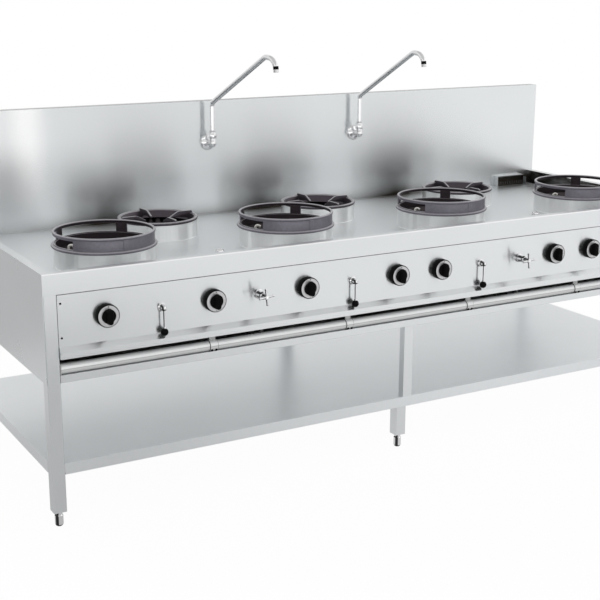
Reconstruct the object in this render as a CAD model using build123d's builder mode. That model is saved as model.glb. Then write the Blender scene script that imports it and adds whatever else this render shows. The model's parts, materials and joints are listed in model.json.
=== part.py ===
from build123d import *
import os
from math import cos, radians, sin

# Four-wok gas range with three rear burners, sunken worktop, splashback and undershelf.
# Frame: origin on the floor under the middle of the range, +X right, +Y to the back, +Z up, mm.

# ---- overall size ----
range_w = 2754.0          # over the side panels
range_d = 1000.0          # front face of the legs to the back sheet
rim_z = 850.0             # raised rim round the worktop
floor_z = 790.0           # sunken worktop floor
splash_z = 1255.0         # top of the splashback
splash_t = 46.0           # splashback depth, front face to back sheet
sheet = 2.0
tap_reach = 64.0          # cross handle front, ahead of the legs: the foremost point

yf = (tap_reach - range_d) / 2     # front face of the legs
yb = yf + range_d                  # back sheet
ys = yb - splash_t                 # splashback front face
half_w = range_w / 2
body_x = half_w - sheet            # outer faces of the legs

# ---- frame ----
leg = 44.0
leg_z = 53.0              # underside of the legs
leg_wall = 2.0
mid_x = 4.0               # middle legs
stub_y = yf + 59.0        # centre of the set-back middle front leg
post_w, post_d = 40.0, 30.0
shelf_z = 220.0
shelf_lip = 38.0
body_z = 491.0            # lower edge of the side panels
beam_h, beam_d = 25.0, 40.0
hem = 14.0

# ---- feet ----
foot_r, foot_neck_r = 14.0, 11.0
spindle_r, spindle_len = 6.0, 62.0
plug_h = 22.0             # tapped plug in the lower end of a leg
run_fit = 0.05            # radial clearance of turning and sliding shafts
open_gap = 0.3            # clear space between faces of pieces that move apart

# ---- worktop and wells ----
rim_w = 28.0
apron_z = 781.0           # lower edge of the front apron
panel_top = apron_z - 2.5 # leaves an open seam under the apron
panel_return = 20.0
wok_x = [-1057.5, -352.5, 352.5, 1057.5]
wok_y = yf + 298.0
wok_r = 172.0             # outside of the wok wells
well_wall = 3.0
well_z = 640.0
rear_x = [-706.0, 0.0, 706.0]
rear_y = yf + 662.0
rear_r = 149.0
rear_well_z = 690.0
flue_r = 58.0             # opening in the bottom of a well

# ---- wok rings ----
low_roll_r, low_roll_z, low_roll = 174.0, 861.0, 5.5      # centre line and thickness of the rolled edges
top_roll_r, top_roll_z, top_roll = 169.5, 906.0, 5.0
skirt_in, skirt_out, skirt_z = 163.0, 168.0, 838.0        # part that hangs inside the well
wall_in, wall_out = 167.0, 172.0
flange_h = 8.0
window_z0, window_z1 = 869.0, 898.0
windows = [(55.0, 128.0), (142.0, 213.0), (-30.0, 41.0)]
lap_x, lap_w = 9.5, 13.0

# ---- rear pan supports ----
pan_roll_r, pan_roll_z, pan_roll = 146.0, 857.0, 6.0
fin_angle = 4.0
fin_top, fin_knee_r, fin_tip_r, fin_tip_z = 871.0, 85.0, 50.0, 852.0
fin_t = 8.0

# ---- control panel ----
control_z = 696.0
knob_x = [-1172.0, -794.0, -434.0, -53.0, 137.0, 685.0, 873.0]
lever_x = [-981.0, -246.0, 326.0, 1061.0]
tap_x = [-624.0, 511.0]
bend_z, lip_z, lip_bottom = 610.0, 593.0, 573.0
lip_out = 15.0
bezel_r, bezel_d = 38.0, 24.0
grip_r, grip_l, grip_w, grip_h = 23.5, 52.0, 22.0, 16.0
stem_out = bezel_d + 17.0   # how far the valve stems stand out of the panel
stem_r = 4.0
lever_drop = 80.0
lever_out = 19.0
ball_r = 13.0
handle_out = 58.0
handle_r = 29.5

# ---- front rail ----
rail_r = 16.85
rail_y, rail_z = yf + 17.0, 534.0
clip_x = [-793.0, -254.0, 285.0, 824.0]
clip_w, clip_wall, clip_tab = 28.0, 2.0, 3.0

# ---- gas and water ----
valve_y = yf + 45.0
manifold_z = 738.0
manifold_r = 13.45
gas_in_x, gas_in_y = 1292.0, 300.0
inlet_z = 472.0           # open lower ends of the gas, water and drain pipes
pipe_room = 10.0           # room for a union round each pipe in the bottom pan
burner_pipe_r = 11.0
wok_pipe_z, rear_pipe_z = 604.0, 578.0
pilot_r, pilot_dx, pilot_dy = 4.0, -122.0, -55.0
pilot_pipe_z, pilot_top = 632.0, 846.0
igniter_r, igniter_dx, igniter_dy, igniter_top = 4.5, -128.0, -4.0, 872.0
igniter_tip_dx, igniter_tip_dy, igniter_tip_z = -111.0, -11.0, 863.0
rear_igniter_top = 850.0
rear_igniter_dx, rear_igniter_dy = -10.0, -112.0
socket_half = 12.0        # half height of the pilot valves
water_r = 7.5
tap_half = 15.0           # half height of the tap bodies behind the panel
tap_flange_r = 16.5
water_y, water_z = yf + 108.0, 546.0
water_in_x, water_in_y = -1300.0, 300.0
riser_y, riser_z = yb - 24.0, 518.0

# ---- faucets ----
faucet_x = [-352.5, 352.5]
faucet_rest = [2.5, -2.7]          # how far each spout is swung at rest, degrees
faucet_z = 1087.0
faucet_axis_y = ys - 47.0
faucet_flange_r = 32.0
spout_r, spout_wall = 9.8, 1.5
elbow_z = 1250.0
spout_slope = 25.7
spout_run = 424.0         # reach of the knee above the tip
spout_reach, spout_tip_z = 500.0, 1402.0
spout_drop = 45.0         # straight end of the tip, almost upright
spout_foot = 8.0          # floor of the faucet bore above the body centre

# ---- corner drain ----
drain_x0, drain_x1 = 1150.0, 1302.0
drain_d, drain_h = 27.0, 46.0
slot_pitch, slot_count = 11.0, 13
gully_x0 = drain_x0 + 6.0
gully_x1 = body_x - leg - 1.5      # clear of the rear leg
gutter_x = 1312.0         # lip of the shallow gutter along the right rim
gutter_h, gutter_end_h = 8.0, 34.0
gully_z = 752.0
drain_pipe_x, drain_pipe_y = 1225.0, ys - drain_d / 2 - 12.0
drain_pipe_r = 20.0        # spigot for the hose at the lower end of the outlet
drain_spigot_h = 168.0
drain_neck_r, drain_cup_r, drain_cup_h = 17.0, 21.5, 27.0

# ---- rinsing nozzles ----
nozzle_at = [(-635.0, yf + 271.0), (832.0, yf + 285.0)]
nozzle_r, nozzle_h = 16.0, 12.0

os.makedirs("parts", exist_ok=True)


def save(piece, name):
    piece.part.label = name
    export_step(piece.part, f"parts/{name}.step")


def box(x0, x1, y0, y1, z0, z1, mode=Mode.ADD):
    """Add a block given by its six faces to the piece being built."""
    with BuildSketch(Plane.XY.offset(z0)) as face:
        with Locations(((x0 + x1) / 2, (y0 + y1) / 2)):
            Rectangle(x1 - x0, y1 - y0)
    extrude(face.sketch, amount=z1 - z0, mode=mode)


def post(x, y, z0, z1, radius, mode=Mode.ADD):
    """Upright round bar."""
    with BuildSketch(Plane.XY.offset(z0)) as face:
        with Locations((x, y)):
            Circle(radius)
    extrude(face.sketch, amount=z1 - z0, mode=mode)


def bar_y(x, z, y0, y1, radius, mode=Mode.ADD):
    """Round bar running front to back, from y0 to y1."""
    with BuildSketch(Plane(origin=(x, y0, z), x_dir=(1, 0, 0), z_dir=(0, 1, 0))) as face:
        Circle(radius)
    extrude(face.sketch, amount=y1 - y0, mode=mode)


def bar_x(y, z, x0, x1, radius, mode=Mode.ADD):
    """Round bar running left to right, from x0 to x1."""
    with BuildSketch(Plane(origin=(x0, y, z), x_dir=(0, 1, 0), z_dir=(1, 0, 0))) as face:
        Circle(radius)
    extrude(face.sketch, amount=x1 - x0, mode=mode)


def pipe(points, radius, bend):
    """Bent round bar along a path of points, added to the piece being built."""
    with BuildLine() as path:
        FilletPolyline(*points, radius=bend)
    with BuildSketch(Plane(origin=path.line @ 0, z_dir=path.line % 0)) as face:
        Circle(radius)
    sweep(face.sketch, path=path.line)


# ================= frame =================

def square_legs(name, spots, z1):
    """Square tubes, each with a tapped plug in its lower end for the foot spindle."""
    with BuildPart() as tubes:
        for x, y in spots:
            with BuildSketch(Plane.XY.offset(leg_z)):
                with Locations((x, y)):
                    RectangleRounded(leg, leg, 4.0)
                    RectangleRounded(leg - 2 * leg_wall, leg - 2 * leg_wall, 2.0, mode=Mode.SUBTRACT)
            extrude(amount=z1 - leg_z)
            with BuildSketch(Plane.XY.offset(leg_z)):
                with Locations((x, y)):
                    RectangleRounded(leg - 2 * leg_wall, leg - 2 * leg_wall, 2.0)
                    Circle(spindle_r + run_fit, mode=Mode.SUBTRACT)
            extrude(amount=plug_h)
    save(tubes, name)


leg_dx = body_x - leg / 2
leg_front_y = yf + leg / 2
leg_rear_y = ys - leg / 2
leg_top = floor_z - sheet
square_legs("leg_front_left", [(-leg_dx, leg_front_y)], leg_top)
square_legs("leg_front_right", [(leg_dx, leg_front_y)], leg_top)
square_legs("leg_front_middle", [(mid_x, stub_y)], shelf_z - sheet)
square_legs("legs_rear", [(x, leg_rear_y) for x in (-leg_dx, mid_x, leg_dx)], leg_top)


def foot(name, x, y):
    """Rounded levelling foot on a threaded spindle, its shoulder just below the leg."""
    shoulder = leg_z - open_gap
    top = shoulder + spindle_len
    with BuildPart() as piece:
        with BuildSketch(Plane.XZ):
            with BuildLine():
                Polyline((0, 0), (foot_r / 2, 0))
                ThreePointArc((foot_r / 2, 0), (foot_r - 1.8, 4.2), (foot_r, 12.0))
                Polyline((foot_r, 12.0), (foot_r, 38.0), (foot_neck_r, 42.0), (foot_neck_r, shoulder),
                         (spindle_r, shoulder), (spindle_r, top), (0, top), (0, 0))
            make_face()
        revolve(axis=Axis.Z)
    piece.part = piece.part.moved(Location((x, y, 0)))
    save(piece, name)


foot("foot_front_left", -leg_dx, leg_front_y)
foot("foot_front_middle", mid_x, stub_y)
foot("foot_front_right", leg_dx, leg_front_y)
foot("foot_rear_left", -leg_dx, leg_rear_y)
foot("foot_rear_middle", mid_x, leg_rear_y)
foot("foot_rear_right", leg_dx, leg_rear_y)

# upright between the shelf and the beam, in the middle of the front
with BuildPart() as post_front_middle:
    box(mid_x - post_w / 2, mid_x + post_w / 2, yf, yf + post_d, shelf_z, body_z + 1.0)
    box(mid_x - post_w / 2 + leg_wall, mid_x + post_w / 2 - leg_wall, yf + leg_wall,
        yf + post_d - leg_wall, shelf_z, body_z + 1.0, Mode.SUBTRACT)
    fillet(post_front_middle.edges().filter_by(Axis.Z).group_by(SortBy.LENGTH)[-1], 1.5)
save(post_front_middle, "post_front_middle")

# undershelf: flat top, turned-down lips with a short hem, notched round the legs
with BuildPart() as shelf:
    box(-body_x, body_x, yf, ys, shelf_z - shelf_lip, shelf_z)
    box(-body_x + sheet, body_x - sheet, yf + sheet, ys - sheet,
        shelf_z - shelf_lip + sheet, shelf_z - sheet, Mode.SUBTRACT)
    box(-body_x + hem, body_x - hem, yf + hem, ys - hem,
        shelf_z - shelf_lip, shelf_z - shelf_lip + sheet, Mode.SUBTRACT)
    for sx in (-1, 1):
        for y0, y1 in ((yf, yf + leg), (ys - leg, ys)):
            x0 = min(sx * body_x, sx * (body_x - leg))
            box(x0, x0 + leg, y0, y1, shelf_z - shelf_lip, shelf_z, Mode.SUBTRACT)
    box(mid_x - leg / 2, mid_x + leg / 2, ys - leg, ys, shelf_z - shelf_lip, shelf_z, Mode.SUBTRACT)
    # three hat stiffeners under the top
    for y in (yf + 190.0, yf + 477.0, yf + 764.0):
        box(-body_x + sheet, body_x - sheet, y - 30.0, y + 30.0, shelf_z - 26.0, shelf_z - sheet)
        box(-body_x + sheet, body_x - sheet, y - 28.0, y + 28.0, shelf_z - 24.0, shelf_z - sheet,
            Mode.SUBTRACT)
save(shelf, "shelf")

# rectangular tube across the front, under the rail
with BuildPart() as front_beam:
    box(-body_x + leg, body_x - leg, yf, yf + beam_d, body_z + 1.0, body_z + 1.0 + beam_h)
    box(-body_x + leg, body_x - leg, yf + sheet, yf + beam_d - sheet,
        body_z + 1.0 + sheet, body_z + 1.0 + beam_h - sheet, Mode.SUBTRACT)
    fillet(front_beam.edges().filter_by(Axis.X).group_by(SortBy.LENGTH)[-1], 0.9)
save(front_beam, "front_beam")

# round rail with a square plate at each end
with BuildPart() as front_rail:
    bar_x(rail_y, rail_z, -body_x + leg, body_x - leg, rail_r)
    bar_x(rail_y, rail_z, -body_x + leg, body_x - leg, rail_r - 2.6, Mode.SUBTRACT)
    for x0 in (-body_x + leg, body_x - leg - 3.0):
        box(x0, x0 + 3.0, yf - 1.0, yf + 35.0, rail_z - 16.8, rail_z + 18.0)
save(front_rail, "front_rail")

# collars round the rail, each with a tab up to the lip of the panel, standing on the beam
beam_top = body_z + 1.0 + beam_h
with BuildPart() as rail_brackets:
    for x in clip_x:
        x0, x1 = x - clip_w / 2, x + clip_w / 2
        bar_x(rail_y, rail_z, x0, x1, rail_r + clip_wall)
        box(x0 + 3.0, x1 - 3.0, rail_y - clip_tab / 2, rail_y + clip_tab / 2, beam_top, lip_bottom)
        box(x0, x1, rail_y - 25.0, rail_y + 25.0, beam_top - 10.0, beam_top, Mode.SUBTRACT)
        bar_x(rail_y, rail_z, x0, x1, rail_r, Mode.SUBTRACT)
save(rail_brackets, "rail_brackets")

# ================= body sheets =================

for side, name in ((-1, "side_panel_left"), (1, "side_panel_right")):
    x_out = side * half_w
    x_in = side * body_x
    x_hem = side * (body_x - hem)
    with BuildPart() as side_panel:
        box(min(x_out, x_in), max(x_out, x_in), yf, yb, body_z, rim_z)
        box(min(x_in, x_hem), max(x_in, x_hem), yf + leg, ys - leg, body_z, body_z + sheet)
        box(min(x_in, x_hem), max(x_in, x_hem), yb - sheet - hem, yb - sheet, body_z, floor_z - sheet)
    save(side_panel, name)

# control panel: top return, flat face, a band that slopes out, a short upright lip and a return
with BuildPart() as control_panel:
    with BuildSketch(Plane(origin=(-body_x + leg, 0, 0), x_dir=(0, 1, 0), z_dir=(1, 0, 0))):
        with BuildLine():
            Polyline(
                (yf, panel_top), (yf, bend_z), (yf - lip_out, lip_z), (yf - lip_out, lip_bottom),
                (yf + 26.0, lip_bottom), (yf + 26.0, lip_bottom + sheet),
                (yf - lip_out + sheet, lip_bottom + sheet), (yf - lip_out + sheet, lip_z - 0.8),
                (yf + sheet, bend_z - 0.8), (yf + sheet, panel_top - sheet),
                (yf + panel_return, panel_top - sheet), (yf + panel_return, panel_top), (yf, panel_top))
        make_face()
    extrude(amount=2 * (body_x - leg))
    # closed ends of the lip
    for x0 in (-body_x + leg, body_x - leg - sheet):
        with BuildSketch(Plane(origin=(x0, 0, 0), x_dir=(0, 1, 0), z_dir=(1, 0, 0))):
            with BuildLine():
                Polyline((yf + sheet, bend_z), (yf, bend_z), (yf - lip_out, lip_z),
                         (yf - lip_out, lip_bottom), (yf + sheet, lip_bottom), (yf + sheet, bend_z))
            make_face()
        extrude(amount=sheet)
    for x in knob_x:
        bar_y(x, control_z, yf - 5.0, yf + 5.0, 7.0, Mode.SUBTRACT)
    for x in lever_x:
        bar_y(x, control_z, yf - 5.0, yf + 5.0, 9.0, Mode.SUBTRACT)
    for x in tap_x:
        bar_y(x, control_z, yf - 5.0, yf + 5.0, 11.0, Mode.SUBTRACT)
save(control_panel, "control_panel")

with BuildPart() as panel_screws:
    for x in (-1321.0, 1321.0):
        for z in (639.0, 751.0):
            bar_y(x, z, yf - 1.6, yf, 3.2)
            bar_y(x, z, yf - 1.6, yf - 0.8, 1.4, Mode.SUBTRACT)
save(panel_screws, "panel_screws")

# bottom pan that closes the body: lies on the hems, notched round the rear legs, holes for the pipes
pan_z0 = body_z + sheet
pan_z1 = pan_z0 + sheet
with BuildPart() as bottom_pan:
    box(-body_x + 0.5, body_x - 0.5, yf + leg + 0.5, yb - sheet - 0.5, pan_z0, pan_z1)
    for x in (-leg_dx, mid_x, leg_dx):
        box(x - leg / 2 - 0.5, x + leg / 2 + 0.5, ys - leg - 0.5, ys + 0.5, pan_z0, pan_z1, Mode.SUBTRACT)
    for x in (-body_x, body_x - hem - 0.5):
        box(x, x + hem + 0.5, yb - sheet - hem - 0.5, yb, pan_z0, pan_z1, Mode.SUBTRACT)
    for x, y, r in ((gas_in_x, gas_in_y, manifold_r), (water_in_x, water_in_y, water_r),
                    (drain_pipe_x, drain_pipe_y, drain_pipe_r)):
        post(x, y, pan_z0 - 1.0, pan_z1 + 1.0, r + pipe_room, Mode.SUBTRACT)
save(bottom_pan, "bottom_pan")

# worktop: sunken floor, rims on three sides and a deep front apron
rim_x = body_x - rim_w
with BuildPart() as worktop:
    box(-half_w, half_w, yf - sheet, yf, apron_z, rim_z)
    box(-body_x, body_x, yf, ys, floor_z - sheet, rim_z)
    box(-rim_x, rim_x, yf + rim_w, ys, floor_z, rim_z, Mode.SUBTRACT)
    box(-body_x + sheet, -rim_x - sheet, yf + leg, ys, floor_z, rim_z - sheet, Mode.SUBTRACT)
    box(rim_x + sheet, body_x - sheet, yf + leg, ys, floor_z, rim_z - sheet, Mode.SUBTRACT)
    box(-body_x + sheet, body_x - sheet, yf, yf + rim_w - sheet, floor_z, rim_z - sheet, Mode.SUBTRACT)
    box(-body_x, -rim_x - sheet, yf, ys, floor_z - sheet, floor_z, Mode.SUBTRACT)
    box(rim_x + sheet, body_x, yf, ys, floor_z - sheet, floor_z, Mode.SUBTRACT)
    box(-body_x, body_x, yf, yf + rim_w - sheet, floor_z - sheet, floor_z, Mode.SUBTRACT)
    for x in wok_x:
        post(x, wok_y, floor_z - 10.0, rim_z, wok_r, Mode.SUBTRACT)
    for x in rear_x:
        post(x, rear_y, floor_z - 10.0, rim_z, rear_r, Mode.SUBTRACT)
    box(gully_x0 + sheet, gully_x1 - sheet, ys - drain_d + 4.0, ys - 3.0, floor_z - 5.0, rim_z, Mode.SUBTRACT)
    for x, y in nozzle_at:
        post(x, y, floor_z - 5.0, rim_z, 6.0, Mode.SUBTRACT)
    # lip of the gutter along the right rim, raised beside the strainer
    box(gutter_x, gutter_x + sheet, yf + rim_w, ys, floor_z, floor_z + gutter_h)
    box(gutter_x, gutter_x + sheet, ys - drain_d - 6.0, ys, floor_z, floor_z + gutter_end_h)
    front_edges = worktop.edges().filter_by(Axis.X).filter_by(lambda e: e.length > range_w - 10)
    fillet(front_edges.group_by(Axis.Z)[-1].group_by(Axis.Y)[0], 1.9)
save(worktop, "worktop")

# splashback: front sheet, top, closed ends and a back sheet that also closes the body
with BuildPart() as splashback:
    box(-body_x, body_x, ys, ys + sheet, floor_z - sheet, rim_z)
    box(-half_w, half_w, ys, ys + sheet, rim_z, splash_z)
    box(-half_w, half_w, ys, yb, splash_z - sheet, splash_z)
    for x0 in (-half_w, half_w - sheet):
        box(x0, x0 + sheet, ys, yb, rim_z, splash_z)
    box(-half_w, half_w, yb - sheet, yb, rim_z, splash_z)
    box(-body_x, body_x, yb - sheet, yb, body_z, rim_z)
    for x in faucet_x:
        bar_y(x, faucet_z, ys - 5.0, ys + 5.0, 11.0, Mode.SUBTRACT)
save(splashback, "splashback")


def well(x, y, r, z0, z1):
    """Round fire well with a flanged bottom, open in the middle for the burner."""
    post(x, y, z0, z1, r)
    post(x, y, z0 + well_wall, z1, r - well_wall, Mode.SUBTRACT)
    post(x, y, z0 - 1.0, z0 + well_wall + 1.0, flue_r, Mode.SUBTRACT)


well_top = low_roll_z - (low_roll ** 2 - (low_roll_r - wok_r) ** 2) ** 0.5 - 0.4
with BuildPart() as wok_wells:
    for x in wok_x:
        well(x, wok_y, wok_r, well_z, well_top)
        post(x + pilot_dx, wok_y + pilot_dy, well_z - 1.0, well_z + well_wall + 1.0, pilot_r + open_gap,
             Mode.SUBTRACT)
save(wok_wells, "wok_wells")

rear_well_top = pan_roll_z - pan_roll - open_gap
with BuildPart() as rear_wells:
    for x in rear_x:
        well(x, rear_y, rear_r, rear_well_z, rear_well_top)
save(rear_wells, "rear_wells")

# ================= wok rings and pan supports =================


def wok_ring(name, x):
    """Cast ring: two rolled edges joined by a wall, open to the left, back and right."""
    with BuildPart() as ring:
        with BuildSketch(Plane.XZ):
            with Locations((low_roll_r, low_roll_z)):
                Circle(low_roll)
            with Locations((top_roll_r, top_roll_z)):
                Circle(top_roll)
            with Locations(((skirt_in + skirt_out) / 2, (skirt_z + low_roll_z) / 2)):
                Rectangle(skirt_out - skirt_in, low_roll_z - skirt_z)
            with Locations(((skirt_in + low_roll_r) / 2, low_roll_z)):
                Rectangle(low_roll_r - skirt_in, flange_h)
            with Locations(((wall_in + wall_out) / 2, (low_roll_z + top_roll_z) / 2)):
                Rectangle(wall_out - wall_in, top_roll_z - low_roll_z)
        revolve(axis=Axis.Z)
        for a0, a1 in windows:
            with BuildSketch(Plane.XY.offset(window_z0)):
                reach = 2.0 * low_roll_r
                with BuildLine():
                    mid = (a0 + a1) / 2
                    Polyline((0, 0), (reach * cos(radians(a0)), reach * sin(radians(a0))),
                             (reach * cos(radians(mid)), reach * sin(radians(mid))),
                             (reach * cos(radians(a1)), reach * sin(radians(a1))), (0, 0))
                make_face()
            extrude(amount=window_z1 - window_z0, mode=Mode.SUBTRACT)
        # lap where the ends of the cast wall meet, at the front
        box(lap_x - lap_w / 2, lap_x + lap_w / 2, -wall_out - 1.5, -wall_in - 1.0, low_roll_z, top_roll_z)
    ring.part = ring.part.moved(Location((x, wok_y, 0)))
    save(ring, name)


for number, x in enumerate(wok_x, 1):
    wok_ring(f"wok_ring_{number}", x)


def pan_support(name, x):
    """Cast ring with four fins that carry a pan over the flame."""
    with BuildPart() as support:
        with BuildSketch(Plane.XZ):
            with Locations((pan_roll_r, pan_roll_z)):
                Circle(pan_roll)
            with BuildLine():
                Polyline((pan_roll_r, pan_roll_z + 4.0), (138.0, pan_roll_z + 2.0), (122.0, 834.0),
                         (126.0, 832.0), (142.0, pan_roll_z - 3.0), (pan_roll_r, pan_roll_z - 4.0),
                         (pan_roll_r, pan_roll_z + 4.0))
            make_face()
        revolve(axis=Axis.Z)
        for k in range(4):
            a = radians(fin_angle + 90 * k)
            upright = Plane(origin=(0, 0, 0), x_dir=(cos(a), sin(a), 0), z_dir=(sin(a), -cos(a), 0))
            with BuildSketch(upright):
                with BuildLine():
                    Polyline((pan_roll_r + 1.0, pan_roll_z), (pan_roll_r - 1.0, fin_top),
                             (fin_knee_r, fin_top), (fin_tip_r, fin_tip_z),
                             (fin_tip_r + 2.0, fin_tip_z - 8.0), (84.0, 850.0),
                             (128.0, 843.0), (pan_roll_r + 1.0, pan_roll_z))
                make_face()
            extrude(amount=fin_t / 2, both=True)
    support.part = support.part.moved(Location((x, rear_y, 0)))
    save(support, name)


for number, x in enumerate(rear_x, 1):
    pan_support(f"pan_support_{number}", x)

# ================= burners and gas =================


def burner(x, y, r, z0, z1, pipe_z, valve_x):
    """Burner head with a raised port ring, and its mixing tube down to the valve."""
    post(x, y, z0, z1, r)
    post(x, y, z1 - 14.0, z1, r - 14.0, Mode.SUBTRACT)
    post(x, y, z1 - 14.0, z1 - 2.0, 12.0)
    pipe([(x, y, z0 + 2.0), (x, y, pipe_z), (valve_x, valve_y + 24.0, pipe_z),
          (valve_x, valve_y + 24.0, control_z - 30.0)], burner_pipe_r, 18.0)


with BuildPart() as wok_burners:
    for x, vx in zip(wok_x, (knob_x[0], knob_x[2], knob_x[4], knob_x[6])):
        burner(x, wok_y, 52.0, 648.0, 716.0, wok_pipe_z, vx)
save(wok_burners, "wok_burners")

with BuildPart() as rear_burners:
    for x, vx in zip(rear_x, (knob_x[1], knob_x[3], knob_x[5])):
        burner(x, rear_y, 44.0, 698.0, 760.0, rear_pipe_z, vx)
save(rear_burners, "rear_burners")

# small pilot tubes up into the wok wells, one from each lever valve
with BuildPart() as pilot_burners:
    for x, lx in zip(wok_x, lever_x):
        px, py = x + pilot_dx, wok_y + pilot_dy
        post(px, py, well_z + well_wall + open_gap, pilot_top, pilot_r + 1.0)
        pipe([(px, py, well_z + well_wall + 2.0), (px, py, pilot_pipe_z), (lx, valve_y + 10.0, pilot_pipe_z),
              (lx, valve_y + 10.0, control_z - socket_half)], pilot_r, 8.0)
save(pilot_burners, "pilot_burners")

# ceramic igniters: bent over beside each pilot, straight in each rear well
with BuildPart() as igniters:
    for x in wok_x:
        ix, iy = x + igniter_dx, wok_y + igniter_dy
        pipe([(ix, iy, well_z + well_wall), (ix, iy, igniter_top),
              (x + igniter_tip_dx, wok_y + igniter_tip_dy, igniter_tip_z)], igniter_r, 8.0)
    for x in rear_x:
        post(x + rear_igniter_dx, rear_y + rear_igniter_dy, rear_well_z + well_wall, rear_igniter_top, igniter_r)
save(igniters, "igniters")

# gas taps behind the knobs: body, stem through the panel, outlet to the mixing tube
with BuildPart() as gas_valves:
    for x in knob_x:
        box(x - 15.0, x + 15.0, valve_y - 17.0, valve_y + 17.0, control_z - 16.0, control_z + 16.0)
        post(x, valve_y, control_z + 16.0, manifold_z, 9.0)
        bar_y(x, control_z, valve_y - 43.0, valve_y - 17.0, 6.0)
        bar_y(x, control_z, yf - stem_out, valve_y - 43.0, stem_r)
        box(x - 13.0, x + 13.0, valve_y + 17.0, valve_y + 37.0, control_z - 30.0, control_z + 12.0)
    bar_x(valve_y, manifold_z, -half_w, half_w, manifold_r, Mode.SUBTRACT)
save(gas_valves, "gas_valves")

with BuildPart() as gas_manifold:
    pipe([(-1290.0, valve_y, manifold_z), (gas_in_x, valve_y, manifold_z), (gas_in_x, gas_in_y, manifold_z),
          (gas_in_x, gas_in_y, inlet_z)], manifold_r, 40.0)
    bar_x(valve_y, manifold_z, -1302.0, -1288.0, manifold_r + 3.0)
save(gas_manifold, "gas_manifold")

# ================= knobs, levers and taps =================

with BuildPart() as knob_bezels:
    for x in knob_x:
        bar_y(x, control_z, yf - bezel_d, yf, bezel_r)
        bar_y(x, control_z, yf - bezel_d + 2.5, yf, bezel_r - 3.0, Mode.SUBTRACT)
        bar_y(x, control_z, yf - bezel_d - 1.0, yf, 8.0, Mode.SUBTRACT)
    fillet(knob_bezels.edges().filter_by(GeomType.CIRCLE).filter_by(
        lambda e: abs(e.radius - bezel_r) < 0.01).group_by(Axis.Y)[0], 1.5)
save(knob_bezels, "knob_bezels")


def knob(name, x):
    """Grip: round boss with a raised straight bar, bored for the valve stem."""
    back = yf - bezel_d - 0.4
    with BuildPart() as grip:
        bar_y(x, control_z, back - 5.0, back, grip_r)
        with BuildSketch(Plane(origin=(x, back - 1.0, control_z), x_dir=(1, 0, 0), z_dir=(0, -1, 0))):
            SlotOverall(grip_l, grip_w, rotation=90)
        extrude(amount=grip_h + 4.0)
        fillet(grip.edges().group_by(Axis.Y)[0], 2.5)
        bar_y(x, control_z, back, yf - 2.0, 7.0)
        bar_y(x, control_z, yf - stem_out - 0.4, yf - 1.0, stem_r + run_fit, Mode.SUBTRACT)
    save(grip, name)


for number, x in enumerate(knob_x, 1):
    knob(f"knob_{number}", x)

with BuildPart() as lever_sockets:
    for x in lever_x:
        bar_y(x, control_z, yf - 3.0, yf, 14.0)
        bar_y(x, control_z, yf - 8.0, yf + 30.0, 8.5)
        bar_y(x, control_z, yf - 24.0, yf - 8.0, stem_r)
        box(x - 9.0, x + 9.0, yf + 30.0, yf + 60.0, control_z - socket_half, control_z + socket_half)
        post(x, valve_y, control_z + 10.0, manifold_z, 5.0)
    bar_x(valve_y, manifold_z, -half_w, half_w, manifold_r, Mode.SUBTRACT)
save(lever_sockets, "lever_sockets")


def lever(name, x):
    """Thin arm hanging from a round hub, with a ball grip at its lower end."""
    ly = yf - lever_out
    with BuildPart() as arm:
        with Locations((x, ly, control_z)):
            Sphere(9.0)
        post(x, ly, control_z - lever_drop, control_z, 3.4)
        with Locations((x, ly, control_z - lever_drop)):
            Sphere(ball_r)
        bar_y(x, control_z, yf - 25.0, yf - 8.0, stem_r + run_fit, Mode.SUBTRACT)
    save(arm, name)


for number, x in enumerate(lever_x, 1):
    lever(f"pilot_lever_{number}", x)

# cold water taps: flange, tapered body, stem, and the connection behind the panel
with BuildPart() as tap_bodies:
    for x in tap_x:
        with BuildSketch(Plane(origin=(x, yf, control_z), x_dir=(1, 0, 0), z_dir=(0, -1, 0))):
            Circle(tap_flange_r)
        extrude(amount=4.0)
        with BuildSketch(Plane(origin=(x, yf - 4.0, control_z), x_dir=(1, 0, 0), z_dir=(0, -1, 0))):
            Circle(13.5)
        extrude(amount=34.0, taper=5.0)
        bar_y(x, control_z, yf - 45.0, yf - 38.0, 7.0)
        bar_y(x, control_z, yf - 60.0, yf - 45.0, stem_r)
        bar_y(x, control_z, yf, yf + 26.0, 10.5)
        box(x - 14.0, x + 14.0, yf + 26.0, yf + 56.0, control_z - tap_half, control_z + tap_half)
save(tap_bodies, "tap_bodies")


def cross_handle(name, x):
    """Four slim arms round a hub, bored for the tap stem."""
    hy = yf - handle_out
    with BuildPart() as cross:
        bar_y(x, control_z, hy - 6.0, hy + 12.0, 8.0)
        for k in range(4):
            a = radians(90 * k + 6)
            with BuildSketch(Plane(origin=(x, hy, control_z), x_dir=(0, 1, 0), z_dir=(cos(a), 0, sin(a)))):
                Circle(3.2)
            extrude(amount=handle_r - 2.5)
            with Locations((x + (handle_r - 3.0) * cos(a), hy, control_z + (handle_r - 3.0) * sin(a))):
                Sphere(3.9)
        bar_y(x, control_z, hy - 2.5, hy + 13.0, stem_r + run_fit, Mode.SUBTRACT)
    save(cross, name)


for number, x in enumerate(tap_x, 1):
    cross_handle(f"cross_handle_{number}", x)

# ================= water =================

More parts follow.
